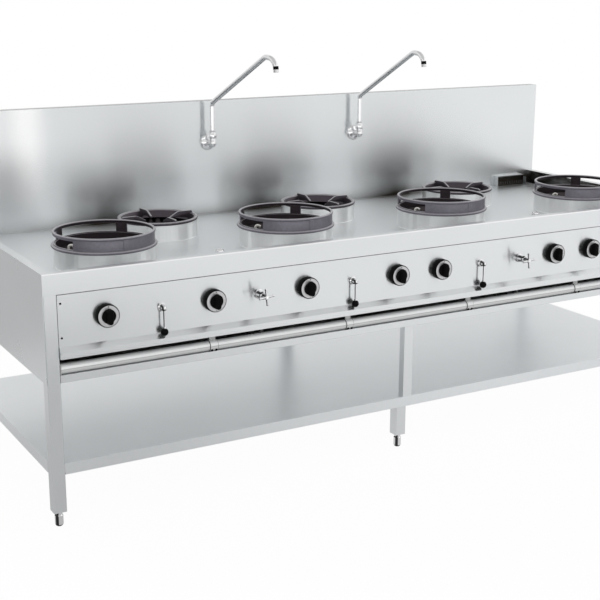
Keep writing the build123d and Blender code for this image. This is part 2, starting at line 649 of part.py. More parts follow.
# wall bodies of the two faucets: flange, horizontal body, upright socket
with BuildPart() as faucet_bodies:
    for x in faucet_x:
        bar_y(x, faucet_z, ys - 5.0, ys, faucet_flange_r)
        bar_y(x, faucet_z, ys - 12.0, ys - 5.0, faucet_flange_r - 8.0)
        bar_y(x, faucet_z, faucet_axis_y, ys + 12.0, 10.5)
        bar_y(x, faucet_z, faucet_axis_y, ys - 12.0, 14.0)
        with Locations((x, faucet_axis_y, faucet_z)):
            Sphere(15.0)
        post(x, faucet_axis_y, faucet_z, faucet_z + 28.0, 13.5)
        with BuildSketch(Plane.XY.offset(faucet_z + 20.0)):
            with Locations((x, faucet_axis_y)):
                RegularPolygon(16.0, 6)
        extrude(amount=25.0)
        post(x, faucet_axis_y, faucet_z + spout_foot, faucet_z + 60.0, spout_r + run_fit, Mode.SUBTRACT)
save(faucet_bodies, "faucet_bodies")


def spout(name, x, turn):
    """Swinging tube: up from the socket, out at a slope, and down at the tip."""
    slope = sin(radians(spout_slope)) / cos(radians(spout_slope))
    with BuildPart() as tube:
        with BuildLine() as path:
            FilletPolyline((0, 0, faucet_z + spout_foot + 4.0), (0, 0, elbow_z),
                           (0, -spout_run, elbow_z + spout_run * slope),
                           (0, -spout_reach + 7.0, spout_tip_z + spout_drop), (0, -spout_reach, spout_tip_z),
                           radius=(20.0, 56.0, 50.0))
        with BuildSketch(Plane(origin=path.line @ 0, z_dir=path.line % 0)):
            Circle(spout_r)
            Circle(spout_r - spout_wall, mode=Mode.SUBTRACT)
        sweep(path=path.line)
    tube.part = tube.part.moved(Location((x, faucet_axis_y, 0), (0, 0, turn)))
    save(tube, name)


for number, (x, turn) in enumerate(zip(faucet_x, faucet_rest), 1):
    spout(f"faucet_spout_{number}", x, turn)

# supply pipe to the taps, and a pipe from each tap to its faucet
with BuildPart() as water_pipes:
    pipe([(water_in_x, water_in_y, inlet_z), (water_in_x, water_in_y, water_z),
          (water_in_x, water_y, water_z), (tap_x[1], water_y, water_z),
          (tap_x[1], valve_y, water_z), (tap_x[1], valve_y, control_z - tap_half)], water_r, 24.0)
    # tee and branch to the left tap
    box(tap_x[0] - 12.0, tap_x[0] + 12.0, water_y - 11.0, water_y + 10.0, water_z - 10.0, water_z + 10.0)
    pipe([(tap_x[0], water_y - 9.0, water_z), (tap_x[0], valve_y, water_z),
          (tap_x[0], valve_y, control_z - tap_half)], water_r, 24.0)
    for tx, fx in zip(tap_x, faucet_x):
        box(tx + 14.0, tx + 44.0, valve_y - 10.0, valve_y + 10.0, control_z - 15.0, control_z + 5.0)
        pipe([(tx + 34.0, valve_y, control_z - 13.0), (tx + 34.0, valve_y, riser_z),
              (tx + 34.0, riser_y, riser_z), (fx, riser_y, riser_z), (fx, riser_y, faucet_z - 8.0)],
             water_r, 20.0)
        box(fx - 11.0, fx + 11.0, ys + 12.0, riser_y + 11.0, faucet_z - 11.0, faucet_z + 11.0)
save(water_pipes, "water_pipes")

# low spray nozzles that rinse the worktop
with BuildPart() as deck_nozzles:
    for x, y in nozzle_at:
        post(x, y, floor_z, floor_z + nozzle_h, nozzle_r)
    fillet(deck_nozzles.edges().group_by(Axis.Z)[-1], nozzle_h - 2.0)
    for x, y in nozzle_at:
        post(x, y, floor_z - 22.0, floor_z + 1.0, 6.0)
save(deck_nozzles, "deck_nozzles")

# gully under the corner strainer, with its outlet pipe
with BuildPart() as drain_gully:
    box(gully_x0, gully_x1, ys - drain_d + 2.0, ys - 1.0, gully_z, floor_z - sheet)
    box(gully_x0 + sheet, gully_x1 - sheet, ys - drain_d + 4.0, ys - 3.0, gully_z + sheet, floor_z - sheet,
        Mode.SUBTRACT)
    post(drain_pipe_x, drain_pipe_y, inlet_z, inlet_z + drain_spigot_h, drain_pipe_r)
    post(drain_pipe_x, drain_pipe_y, inlet_z + drain_spigot_h - 1.0, gully_z, drain_neck_r)
    post(drain_pipe_x, drain_pipe_y, gully_z - drain_cup_h, gully_z + 0.5, drain_cup_r)
    post(drain_pipe_x, drain_pipe_y, inlet_z - 1.0, gully_z - 20.0, drain_neck_r - 2.0, Mode.SUBTRACT)
    post(drain_pipe_x, ys - drain_d / 2, gully_z - 21.0, gully_z + sheet + 1.0, 7.0, Mode.SUBTRACT)
save(drain_gully, "drain_gully")

# lift-out strainer box over the gully: top, front with slots, and both ends
with BuildPart() as drain_strainer:
    box(drain_x0, drain_x1, ys - drain_d, ys - 0.5, floor_z + open_gap, floor_z + drain_h)
    box(drain_x0 + 1.5, drain_x1 - 1.5, ys - drain_d + 1.5, ys - 0.5, floor_z, floor_z + drain_h - 1.5,
        Mode.SUBTRACT)
    for k in range(slot_count):
        x = drain_x0 + 12.0 + k * slot_pitch
        box(x - 2.0, x + 2.0, ys - drain_d - 2.0, ys - drain_d + 3.0, floor_z + 5.0, floor_z + 20.0,
            Mode.SUBTRACT)
save(drain_strainer, "drain_strainer")
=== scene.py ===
import json
from math import cos, pi, radians, sin, tan, tau

import bmesh
import bpy
from bpy.props import FloatProperty, FloatVectorProperty, IntProperty, PointerProperty
from mathutils import Matrix, Vector


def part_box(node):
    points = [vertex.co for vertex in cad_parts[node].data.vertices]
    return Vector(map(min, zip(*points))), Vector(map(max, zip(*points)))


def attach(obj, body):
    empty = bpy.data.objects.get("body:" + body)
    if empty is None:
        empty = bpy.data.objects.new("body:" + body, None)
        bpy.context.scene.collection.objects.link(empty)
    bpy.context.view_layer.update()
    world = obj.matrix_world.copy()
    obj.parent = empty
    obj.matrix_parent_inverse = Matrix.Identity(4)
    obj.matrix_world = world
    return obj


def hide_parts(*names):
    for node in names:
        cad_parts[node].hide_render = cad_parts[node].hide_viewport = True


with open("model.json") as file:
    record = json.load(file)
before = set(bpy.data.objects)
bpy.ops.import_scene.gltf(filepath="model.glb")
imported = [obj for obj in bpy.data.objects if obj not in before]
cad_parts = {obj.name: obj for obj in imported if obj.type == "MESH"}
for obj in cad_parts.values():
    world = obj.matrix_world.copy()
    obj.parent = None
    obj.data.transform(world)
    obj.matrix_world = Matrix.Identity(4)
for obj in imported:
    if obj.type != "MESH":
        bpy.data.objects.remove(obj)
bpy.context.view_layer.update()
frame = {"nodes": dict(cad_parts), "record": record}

bl_info = {
    "name": "Wok Range",
    "version": (1, 0, 0),
    "blender": (4, 5, 0),
    "location": "View3D > Sidebar > Wok Range",
    "description": "Dresses the solids of a four-wok gas range",
    "category": "Object",
}

UP = Vector((0.0, 0.0, 1.0))
FRONT = Vector((0.0, -1.0, 0.0))
NODES = frame["nodes"]
BODY_OF = {node: body for body, group in frame["record"]["behaviour"]["bodies"].items() for node in group}


def middle(node):
    """Centre of a node's box."""
    low, high = (Vector(corner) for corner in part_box(node))
    return (low + high) / 2


def on_panel(x, out=0.0):
    """The place of a control: its x, and how far it stands off the panel."""
    return Vector((x, PANEL_Y - out, CONTROL_Z))


def numbered(stem):
    """The nodes called stem_1, stem_2 and so on, in order."""
    return sorted(node for node in NODES if node.startswith(stem) and node[len(stem):].isdigit())


PANEL_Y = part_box("control_panel")[0][1] + 0.015     # flat face of the control panel
CONTROL_Z = middle("knob_1").z
DECK_Z = 0.790                                      # sunken floor of the worktop
SPLASH_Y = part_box("splashback")[0][1]
WOK_PITCH = 0.705
WOK_XS = [WOK_PITCH * (k - 1.5) for k in range(4)]
REAR_XS = (-0.706, 0.0, 0.706)
WOK_Y, REAR_Y = -0.170, 0.194
WOK_WELL, REAR_WELL = 0.172, 0.149                  # outer radii of the wells
SMOOTH_BELOW = radians(34)                          # edges sharper than this stay crisp


# ---------------------------------------------------------------- finishes

def plug(tree, socket, term):
    """Links an output to a socket, or sets the socket to a plain value."""
    if isinstance(term, Value):
        tree.links.new(term.socket, socket)
    else:
        socket.default_value = term


class Value:
    """An output socket that takes part in arithmetic; every operation adds a Math node."""

    def __init__(self, tree, socket):
        self.tree = tree
        self.socket = socket

    def math(self, operation, *terms):
        node = self.tree.nodes.new("ShaderNodeMath")
        node.operation = operation
        for socket, term in zip(node.inputs, terms):
            plug(self.tree, socket, term)
        return Value(self.tree, node.outputs[0])

    def __add__(self, other):
        return self.math("ADD", self, other)

    def __radd__(self, other):
        return self.math("ADD", other, self)

    def __sub__(self, other):
        return self.math("SUBTRACT", self, other)

    def __rsub__(self, other):
        return self.math("SUBTRACT", other, self)

    def __mul__(self, other):
        return self.math("MULTIPLY", self, other)

    def __rmul__(self, other):
        return self.math("MULTIPLY", other, self)

    def __truediv__(self, other):
        return self.math("DIVIDE", self, other)

    def __pow__(self, other):
        return self.math("POWER", self, other)


class Finish:
    """A material being made, with one method for every node that isn't arithmetic."""

    def __init__(self, name):
        self.material = bpy.data.materials.new(name)
        self.material.use_nodes = True
        self.tree = self.material.node_tree
        self.tree.nodes.clear()

    def node(self, kind, settings=None, inputs=None, output=0):
        """Adds a node of a kind: its settings are set first, then its inputs are filled or linked."""
        node = self.tree.nodes.new(kind)
        for key, setting in (settings or {}).items():
            setattr(node, key, setting)
        for key, term in (inputs or {}).items():
            plug(self.tree, node.inputs[key], term)
        return Value(self.tree, node.outputs[output]) if len(node.outputs) else None

    def spot(self):
        """The shaded point in object coordinates."""
        return self.node("ShaderNodeTexCoord", output="Object")

    def facing(self):
        """The way the surface faces."""
        return self.node("ShaderNodeNewGeometry", output="Normal")

    def parts(self, vector, which):
        """Some of a vector's X, Y and Z, named by a string such as "xz"."""
        return [self.node("ShaderNodeSeparateXYZ", None, {0: vector}, output="xyz".index(axis)) for axis in which]

    def noise(self, scale, detail=2.0, roughness=0.5):
        """Cloudy pattern whose spots per metre are given by scale, as one number or along X, Y and Z."""
        scale = scale if isinstance(scale, tuple) else (scale, scale, scale)
        place = self.node("ShaderNodeMapping", None, {"Vector": self.spot(), "Scale": scale})
        return self.node("ShaderNodeTexNoise", None,
                         {"Vector": place, "Scale": 1.0, "Detail": detail, "Roughness": roughness})

    def colours(self, factor, first, second):
        """Mix of two colours."""
        return self.node("ShaderNodeMix", {"data_type": "RGBA"}, {0: factor, 6: first, 7: second}, output=2)

    def ramp(self, factor, low, high):
        """0 below low, 1 above high, even between."""
        return self.node("ShaderNodeMapRange", {"clamp": True},
                         {"Value": factor, "From Min": low, "From Max": high})

    def bumps(self, height, strength, depth, rounding=0.0):
        """Normal of a bumpy surface; rounding softens sharp edges by that radius."""
        inputs = {"Height": height, "Strength": strength, "Distance": depth}
        if rounding:
            inputs["Normal"] = self.node("ShaderNodeBevel", {"samples": 3}, {"Radius": rounding})
        return self.node("ShaderNodeBump", None, inputs)

    def surface(self, **sockets):
        """Ends the material in one Principled shader; names are its sockets with _ for spaces."""
        shader = self.node("ShaderNodeBsdfPrincipled", None,
                           {key.replace("_", " "): term for key, term in sockets.items()})
        self.node("ShaderNodeOutputMaterial", None, {"Surface": shader})
        return self.material


def rgba(colour, gain=1.0):
    """A colour with an opaque alpha, made lighter or darker by gain."""
    return (*(min(1.0, channel * gain) for channel in colour), 1.0)


def rolled_steel(name, colour, grain, shine, smear, stretch=0.0, turn=0.0, cloud_scale=5.0,
                 rounding=0.0009, painted_shade=None, metal=0.95, wear_and_painted_highlight=None):
    """Satin stainless steel: fine grain lines that smear reflections across them, fainter streaks along
    them and soft clouds from handling. Painted shade darkens part of it, and a painted highlight lightens part of
    it."""
    made = Finish(name)
    lines = made.noise(grain, 2.0, 0.6)
    streaks = made.noise(tuple(step * 0.12 for step in grain), 3.0, 0.6)
    clouds = made.noise(cloud_scale, 4.0, 0.62)
    tone = 0.45 + 0.35 * (clouds - 0.5) + 0.14 * (streaks - 0.5) + 0.16 * (lines - 0.5)
    base = made.colours(made.ramp(tone, 0.0, 1.0), rgba(colour, 0.92), rgba(colour, 1.07))
    # painted shade: darkens the masked part towards dark brown
    if painted_shade:
        base = made.colours(painted_shade(made), base, rgba((0.036, 0.030, 0.024)))
    # painted highlight: lightens the masked part towards white
    if wear_and_painted_highlight:
        base = made.colours(0.75 * wear_and_painted_highlight(made), base, rgba((1.0, 1.0, 1.0)))
    rough = shine + 0.05 * (clouds - 0.5) + 0.02 * (streaks - 0.5)
    return made.surface(Base_Color=base, Metallic=metal, Roughness=rough, Anisotropic=stretch,
                        Anisotropic_Rotation=turn, Normal=made.bumps(lines, 1.0, smear, rounding))


def places(made):
    """X and height of the point, then X, Y and Z of the way the surface faces."""
    return made.parts(made.spot(), "xz") + made.parts(made.facing(), "xyz")


def painted_gutter_shade(made):
    """Painted shade of the deep gutter along the right rim of the worktop: 1 there, 0 elsewhere."""
    x, z, east, _, _ = places(made)
    # painted shade of the deep gutter: its inner wall and floor are darkened
    wall = made.ramp(x, 1.338, 1.344) * made.ramp(0.0 - east, 0.5, 0.8)
    floor = made.ramp(x, 1.3135, 1.3165) * made.ramp(0.802 - z, 0.0, 0.008) * made.ramp(1.3475 - x, 0.0, 0.001)
    mottle = made.noise((25.0, 8.0, 25.0), 3.0, 0.6)
    return wall.math("MAXIMUM", wall, floor) * (0.55 + 0.8 * mottle)


def painted_fold_highlight(made):
    """Painted highlight along the fold between the worktop and its apron: 1 there, 0 elsewhere."""
    y, z = made.parts(made.spot(), "yz")
    low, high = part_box("worktop")
    front, top = low[1], high[2]
    # painted highlight along the fold, just below the top of the worktop at its front
    return made.ramp(z, top - 0.0050, top - 0.0020) * (1.0 - made.ramp(y, front + 0.0035, front + 0.0060))


def painted_well_shade(made):
    """Painted shade on the outside of the wells: mottled dark patches as painted reflections, heavier under the
    rings as their painted shadow.
    """
    _, z, _, _, _ = places(made)
    film_and_painted_patches = made.noise((7.0, 7.0, 5.0), 1.0, 0.5)
    # painted shadow under the rings, over mottled painted reflections
    return 0.07 * made.ramp(film_and_painted_patches, 0.40, 0.66) * (0.45 + 0.55 * made.ramp(z, 0.800, 0.845))


def painted_splash_shade(made):
    """Painted shade along the foot of the splashback, painted reflections of the burners as dark patches behind
    them, and painted shade on the upward faces of the top fold.
    """
    x, z, _, north, up = places(made)
    front = made.ramp(0.0 - north, 0.5, 0.9)
    # painted shade: darker towards the foot of the splashback
    foot = (1.0 - made.ramp(z, DECK_Z + 0.004, DECK_Z + 0.075)) ** 2.2
    lane = (x + 7.15) / WOK_PITCH
    phase = lane.math("FRACT", lane) - 0.5
    burners = made.ramp(x, -1.20, -1.02) * (1.0 - 0.85 * made.ramp(x, 0.95, 1.08))
    low_down = 1.0 - made.ramp(z, DECK_Z + 0.03, DECK_Z + 0.26)
    # painted reflections: dark patches in lanes set off from the burners, where their reflections fall
    burner_reflections = made.ramp(phase.math("ABSOLUTE", phase), 0.18, 0.46) * low_down
    mottle = made.noise((7.0, 7.0, 2.0), 2.0, 0.5)
    ends = 1.0 - 0.75 * made.ramp(x, 0.70, 0.95) - 0.35 * made.ramp(0.0 - x, 1.0, 1.15)
    shade_total = 0.55 * foot * ends + 0.58 * burners * burner_reflections * (0.4 + mottle)
    # the last term is painted shade on faces that look up, along the top fold
    return front * shade_total + 0.55 * made.ramp(up, 0.6, 0.9)


def painted_splash_reflection(made):
    """1 on a painted reflection, a bright stretch at the left end of the splashback, fading towards its foot."""
    x, z, _, north, _ = places(made)
    stretch = made.ramp(x, -1.190, -1.125) * (1.0 - made.ramp(x, -1.095, -1.025))
    # painted reflection: lightens the front faces of that stretch
    return made.ramp(0.0 - north, 0.5, 0.9) * (0.8 * stretch + 0.45 * (1.0 - made.ramp(x, -1.08, -0.99))) \
        * made.ramp(z, DECK_Z + 0.03, DECK_Z + 0.20)


def rail_shade(made):
    """Painted shade: a dark line along the rail and a darker underside."""
    _, _, _, _, up = places(made)
    # painted shade: a dark line and a darker underside, set by the way the faces turn
    line = made.ramp(up, -0.10, 0.0) * (1.0 - made.ramp(up, 0.06, 0.18))
    return 0.42 * line + 0.22 * made.ramp(0.0 - up, -0.05, 0.15)


def painted_strainer_shade(made):
    """Painted shade on the front of the strainer, lighter towards its top."""
    _, z, _, north, _ = places(made)
    mottle = made.noise(60.0, 3.0, 0.6)
    # painted shade: front faces darkened, less towards their top
    return made.ramp(0.0 - north, 0.4, 0.8) * (0.86 + 0.3 * mottle) * (1.0 - 0.6 * made.ramp(z, 0.830, 0.836))


def chrome_plate(name, colour, cast, shine):
    """Bright plate with water spots; sides turned left or down get a painted dark reflection."""
    made = Finish(name)
    waves = made.noise(60.0, 2.0)
    film_and_painted_patches = made.ramp(made.noise(420.0, 1.0), 0.62, 0.78)
    east, up = made.parts(made.facing(), "xz")
    # painted reflection: faces turned left or down are darkened as if they mirrored dark surroundings
    left = made.ramp(0.0 - east, 0.32, 0.44) * made.ramp(east, -0.97, -0.90)
    below = made.ramp(0.0 - up, 0.22, 0.38) * made.ramp(up, -0.96, -0.85)
    clean = made.colours(0.5 * film_and_painted_patches + 0.2 * waves, rgba(colour), rgba(colour, 0.86))
    base = made.colours(cast * left.math("MAXIMUM", left, below), clean, rgba((0.008, 0.008, 0.009)))
    return made.surface(Base_Color=base, Metallic=1.0, Roughness=shine + 0.05 * film_and_painted_patches + 0.03 * waves,
                        Normal=made.bumps(waves, 0.15, 0.00003, 0.0006))


def rough_casting(name, colour, rubbed_and_lit_colour):
    """Seasoned cast iron: sandy skin, darker pits, and faces turned up made lighter, partly as rubbed wear and
    partly as a painted highlight.
    """
    made = Finish(name)
    sand = made.noise(900.0, 3.0, 0.65)
    lumps = made.noise(110.0, 3.0, 0.55)
    clouds = made.noise(14.0, 3.0, 0.6)
    tone = 0.5 + 0.7 * (clouds - 0.5) + 0.5 * (lumps - 0.5) + 0.3 * (sand - 0.5)
    skin = made.colours(made.ramp(tone, 0.0, 1.0), rgba(colour, 0.7), rgba(colour, 1.3))
    up, = made.parts(made.facing(), "z")
    # faces turned up are lightened: rubbed wear and a painted highlight
    rubbed_and_lit = made.ramp(up + 0.3 * (lumps - 0.5), 0.2, 0.8)
    base = made.colours(0.85 * rubbed_and_lit, skin, rgba(rubbed_and_lit_colour))
    return made.surface(Base_Color=base, Metallic=0.7, Roughness=0.44 + 0.2 * (sand - 0.5) - 0.14 * rubbed_and_lit,
                        Normal=made.bumps(0.6 * sand + 0.4 * lumps, 0.4, 0.0004, 0.0012))


def moulded_plastic(name, colour):
    """Hard black moulding: fine spark texture with a worn sheen."""
    made = Finish(name)
    spark = made.noise(1500.0, 2.0, 0.6)
    wear_and_painted_highlight = made.noise(55.0, 3.0, 0.6)
    base = made.colours(made.ramp(wear_and_painted_highlight, 0.35, 0.75), rgba(colour), rgba(colour, 1.6))
    return made.surface(Base_Color=base, Roughness=0.42 + 0.16 * (wear_and_painted_highlight - 0.5) + 0.1 * (spark - 0.5),
                        IOR=1.22, Specular_IOR_Level=0.12, Normal=made.bumps(spark, 0.25, 0.00008, 0.0006))


def spun_disc(name, colour):
    """Satin dial plate with fine crossed grain."""
    made = Finish(name)
    grain = made.noise((900.0, 60.0, 900.0), 2.0, 0.6)
    clouds = made.noise(30.0, 3.0)
    base = made.colours(made.ramp(0.6 * grain + 0.4 * clouds, 0.3, 0.7), rgba(colour, 0.9), rgba(colour, 1.08))
    return made.surface(Base_Color=base, Metallic=0.75, Roughness=0.36 + 0.1 * (grain - 0.5),
                        Normal=made.bumps(grain, 0.2, 0.00004))


def glazed(name, colour):
    """Glazed ceramic with faint soot."""
    made = Finish(name)
    soot = made.noise(160.0, 3.0, 0.6)
    base = made.colours(made.ramp(soot, 0.5, 0.85), rgba(colour), rgba((0.55, 0.5, 0.42)))
    return made.surface(Base_Color=base, Roughness=0.22 + 0.2 * soot, Normal=made.bumps(soot, 0.2, 0.0002))


def machined(name, colour, shine):
    """Turned or drawn metal with fine rings and stains."""
    made = Finish(name)
    rings = made.noise((300.0, 1400.0, 300.0), 2.0, 0.6)
    stains = made.noise(45.0, 4.0, 0.65)
    base = made.colours(made.ramp(0.4 * rings + 0.6 * stains, 0.3, 0.72), rgba(colour, 0.7), rgba(colour, 1.15))
    return made.surface(Base_Color=base, Metallic=1.0, Roughness=shine + 0.22 * (stains - 0.5),
                        Normal=made.bumps(rings, 0.3, 0.00008, 0.0006))


# grain lines per metre along X, Y and Z
ALONG_X = (60.0, 1700.0, 1700.0)
ALONG_Y = (12.0, 1.5, 12.0)
UPRIGHT = (1700.0, 1700.0, 60.0)
ROUND_Z = (60.0, 60.0, 1700.0)
BRUSHED = {"stretch": 0.85, "turn": 0.25}       # reflections drawn out across the grain


def finish(name):
    """The named finish, made the first time it is asked for."""
    kind, name = name, name + "_finish"
    if name in bpy.data.materials:
        return bpy.data.materials[name]
    tint = bpy.context.scene.wok_range_colours
    makers = {
        # the deck, splash, wells, rail and strainer take painted shade and painted highlights from the masks named
        # in their entries
        "sheet_deck": (rolled_steel, tint.sheet, ALONG_X, 0.33, 4e-6, dict(painted_shade=painted_gutter_shade, wear_and_painted_highlight=painted_fold_highlight)),
        "sheet_level": (rolled_steel, tint.shelf, ALONG_X, 0.30, 2e-6, dict(metal=0.8)),
        "sheet_pan": (rolled_steel, tint.well, ALONG_X, 0.34, 2e-6, dict(metal=0.6)),
        "sheet_splash": (rolled_steel, tint.sheet, ALONG_X, 0.235, 4e-6,
                         dict(BRUSHED, painted_shade=painted_splash_shade, metal=0.98, wear_and_painted_highlight=painted_splash_reflection)),
        "sheet_strainer": (rolled_steel, tint.sheet, ALONG_X, 0.34, 1e-5, dict(painted_shade=painted_strainer_shade)),
        "sheet_upright": (rolled_steel, tint.sheet, ALONG_X, 0.245, 4e-6, BRUSHED),
        "sheet_side": (rolled_steel, tint.sheet, ALONG_Y, 0.28, 1e-6, dict(rounding=0.0)),
        "sheet_well": (rolled_steel, tint.well, ROUND_Z, 0.30, 1e-5,
                       dict(BRUSHED, cloud_scale=9.0, painted_shade=painted_well_shade, metal=0.85)),
        "sooty_sheet": (rolled_steel, tint.sooty, ROUND_Z, 0.45, 4e-5, {}),
        "tube_upright": (rolled_steel, tint.tube, UPRIGHT, 0.30, 1e-6, dict(cloud_scale=8.0)),
        "tube_level": (rolled_steel, tint.tube, ALONG_X, 0.34, 1e-6, dict(cloud_scale=8.0)),
        "rail": (rolled_steel, tint.well, ALONG_X, 0.38, 1e-6, dict(metal=0.3, painted_shade=rail_shade)),
        # chrome takes a strong painted dark reflection, bright chrome a faint one
        "chrome": (chrome_plate, tint.chrome, 0.96, 0.045, {}),
        "bright_chrome": (chrome_plate, tint.chrome, 0.05, 0.13, {}),
        "cast_iron": (rough_casting, tint.iron, tint.rubbed_and_lit, {}),
        "dark_iron": (rough_casting, tint.dark_iron, tint.rubbed_and_lit, {}),
        "sooty_iron": (rough_casting, tint.soot, tint.dark_iron, {}),
        "black_plastic": (moulded_plastic, tint.plastic, {}),
        "dial": (spun_disc, tint.dial, {}),
        "ceramic": (glazed, tint.ceramic, {}),
        "brass": (machined, tint.brass, 0.3, {}),
        "pipe": (machined, tint.pipe, 0.38, {}),
    }
    make, *settings, extras = makers[kind]
    return make(name, *settings, **extras)


# ---------------------------------------------------------------- shapes

def turn_to(direction):
    """Rotation that takes +Z to a direction, with X kept level where it can be."""
    return UP.rotation_difference(Vector(direction)).to_matrix().to_4x4()


def put(spot, axis=UP):
    """Matrix that takes a form made upright at the origin to a spot, its Z along an axis."""
    return Matrix.Translation(spot) @ turn_to(axis)


def round_edges(form, edges, offset, segments=2, clamp=False):
    """Rounds edges of a form."""
    bmesh.ops.bevel(form, geom=edges, offset=offset, offset_type="OFFSET", affect="EDGES", segments=segments,
                    profile=0.5, material=-1, clamp_overlap=clamp)


def round_section(reach, height, radius):
    """Points of a round section, to be turned round an axis at a reach."""
    return [(reach + radius * cos(tau * k / 14), height + radius * sin(tau * k / 14)) for k in range(14)]


def only(parts, kind):
    """The parts of a result of a mesh operator that are of one kind."""
    return [part for part in parts if isinstance(part, kind)]


class Shape:
    """A mesh gathered from closed forms, each of them made by mesh operators."""

    def __init__(self):
        self.mesh = bmesh.new()

    def take(self, form, matrix=Matrix.Identity(4), material=0):
        """Adds a finished form, put in place by a matrix."""
        bmesh.ops.recalc_face_normals(form, faces=form.faces)
        for face in form.faces:
            face.material_index = material
        form.transform(matrix)
        carrier = bpy.data.meshes.new("carrier")
        form.to_mesh(carrier)
        form.free()
        self.mesh.from_mesh(carrier)
        bpy.data.meshes.remove(carrier)

    def turned(self, profile, centre, axis=UP, steps=48, material=0, closed=False):
        """Spins a profile of (radius, height) points round an axis through centre."""
        form = bmesh.new()
        points = [form.verts.new((radius, 0.0, height)) for radius, height in profile]
        pairs = list(zip(points, points[1:] + (points[:1] if closed else [])))
        edges = [form.edges.new(pair) for pair in pairs]
        bmesh.ops.spin(form, geom=points + edges, cent=(0, 0, 0), axis=(0, 0, 1), angle=tau, steps=steps,
                       use_merge=True)
        bmesh.ops.remove_doubles(form, verts=form.verts, dist=1e-6)
        self.take(form, put(centre, axis), material)

    def hoop(self, profile, centre, axis=UP, steps=48, material=0):
        """Spins a closed profile, which leaves a ring."""
        self.turned(profile, centre, axis, steps, material, closed=True)

    def arc_wall(self, inner, outer, low, high, start, end, centre, steps=None):
        """Part of a round wall between two angles, in degrees, closed at its ends."""
        form = bmesh.new()
        section = ((inner, low), (outer, low), (outer, high), (inner, high))
        points = [form.verts.new((radius, 0.0, height)) for radius, height in section]
        edges = [form.edges.new(pair) for pair in zip(points, points[1:] + points[:1])]
        bmesh.ops.spin(form, geom=points + edges, cent=(0, 0, 0), axis=(0, 0, 1), angle=radians(end - start),
                       steps=steps or max(2, int((end - start) / 4)))
        bmesh.ops.holes_fill(form, edges=form.edges, sides=4)
        self.take(form, Matrix.Translation(centre) @ Matrix.Rotation(radians(start), 4, "Z"))

    def block(self, low, high, matrix=Matrix.Identity(4)):
        """Box between two corners."""
        low, high = Vector(low), Vector(high)
        form = bmesh.new()
        bmesh.ops.create_cube(form, size=1.0)
        bmesh.ops.scale(form, vec=high - low, verts=form.verts)
        bmesh.ops.translate(form, vec=(high + low) / 2, verts=form.verts)
        self.take(form, matrix)

    def rod(self, start, end, radius, end_radius=None, steps=20, material=0):
        """Round bar between two points, tapered if the radii differ."""
        start, end = Vector(start), Vector(end)
        form = bmesh.new()
        bmesh.ops.create_cone(form, cap_ends=True, segments=steps, radius1=radius,
                              radius2=radius if end_radius is None else end_radius, depth=(end - start).length)
        self.take(form, put((start + end) / 2, end - start), material)

    def ball(self, centre, radius, steps=24, material=0):
        form = bmesh.new()
        bmesh.ops.create_uvsphere(form, u_segments=steps, v_segments=steps // 2, radius=radius)
        self.take(form, Matrix.Translation(centre), material)

    def hexagon(self, centre, axis, across, height, soft=0.0008):
        """Hexagon nut centred on a point."""
        form = bmesh.new()
        bmesh.ops.create_cone(form, cap_ends=True, segments=6, radius1=across / 2, radius2=across / 2,
                              depth=height)
        round_edges(form, form.edges[:], soft)
        self.take(form, put(centre, axis))

    def plate(self, outline, thickness, matrix, soft):
        """Flat plate from an outline in its own XY plane, centred on that plane, with rounded edges."""
        form = bmesh.new()
        face = form.faces.new([form.verts.new((x, y, -thickness / 2)) for x, y in outline])
        grown = bmesh.ops.extrude_face_region(form, geom=[face])["geom"]
        bmesh.ops.translate(form, vec=(0, 0, thickness), verts=only(grown, bmesh.types.BMVert))
        bmesh.ops.holes_fill(form, edges=form.edges, sides=len(outline))
        round_edges(form, form.edges[:], soft, clamp=True)
        self.take(form, matrix)

    def finish_as(self, name, body, finishes, stands_for=(), soften=0.0):
        """Turns the gathered forms into one object that rides on a body."""
        mesh = bpy.data.meshes.new(name)
        self.mesh.to_mesh(mesh)
        self.mesh.free()
        mesh.polygons.foreach_set("use_smooth", [True] * len(mesh.polygons))
        mesh.set_sharp_from_angle(angle=SMOOTH_BELOW)
        for each in finishes:
            mesh.materials.append(finish(each))
        piece = bpy.data.objects.new(name, mesh)
        bpy.context.scene.collection.objects.link(piece)
        if soften:
            rounding = piece.modifiers.new("rounding", "BEVEL")
            rounding.width = soften
            rounding.segments = 2
            rounding.limit_method = "ANGLE"
            rounding.angle_limit = SMOOTH_BELOW
            rounding.harden_normals = True
        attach(piece, body)
        if stands_for:
            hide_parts(*stands_for)
        return piece


# ---------------------------------------------------------------- settings

def length(name, description, default):
    return FloatProperty(name=name, description=description, default=default, unit="LENGTH")


def colour(name, description, default):
    return FloatVectorProperty(name=name, description=description, subtype="COLOR", default=default,
                               min=0.0, max=1.0)


class WokRangeSizes(bpy.types.PropertyGroup):
    bezel_radius: length("Bezel radius", "Outside of a knob's fixed black bezel", 0.038)
    bezel_depth: length("Bezel depth", "How far a bezel stands off the panel", 0.024)
    grip_radius: length("Grip radius", "Round boss of a knob's grip", 0.0235)
    grip_height: length("Grip bar height", "Height of the raised bar on a knob", 0.016)
    ball_radius: length("Lever ball radius", "Ball grip of a pilot lever", 0.013)
    spout_radius: length("Spout radius", "Outside of a faucet's swinging tube", 0.0098)
    roll_radius: length("Rolled edge radius", "Section of a wok ring's top edge", 0.005)
    weld_width: length("Weld width", "Bead where a well meets the worktop", 0.002)
    round_steps: IntProperty(name="Ring steps", description="Straight steps in a full round of a ring",
                             default=96, min=24, max=256)


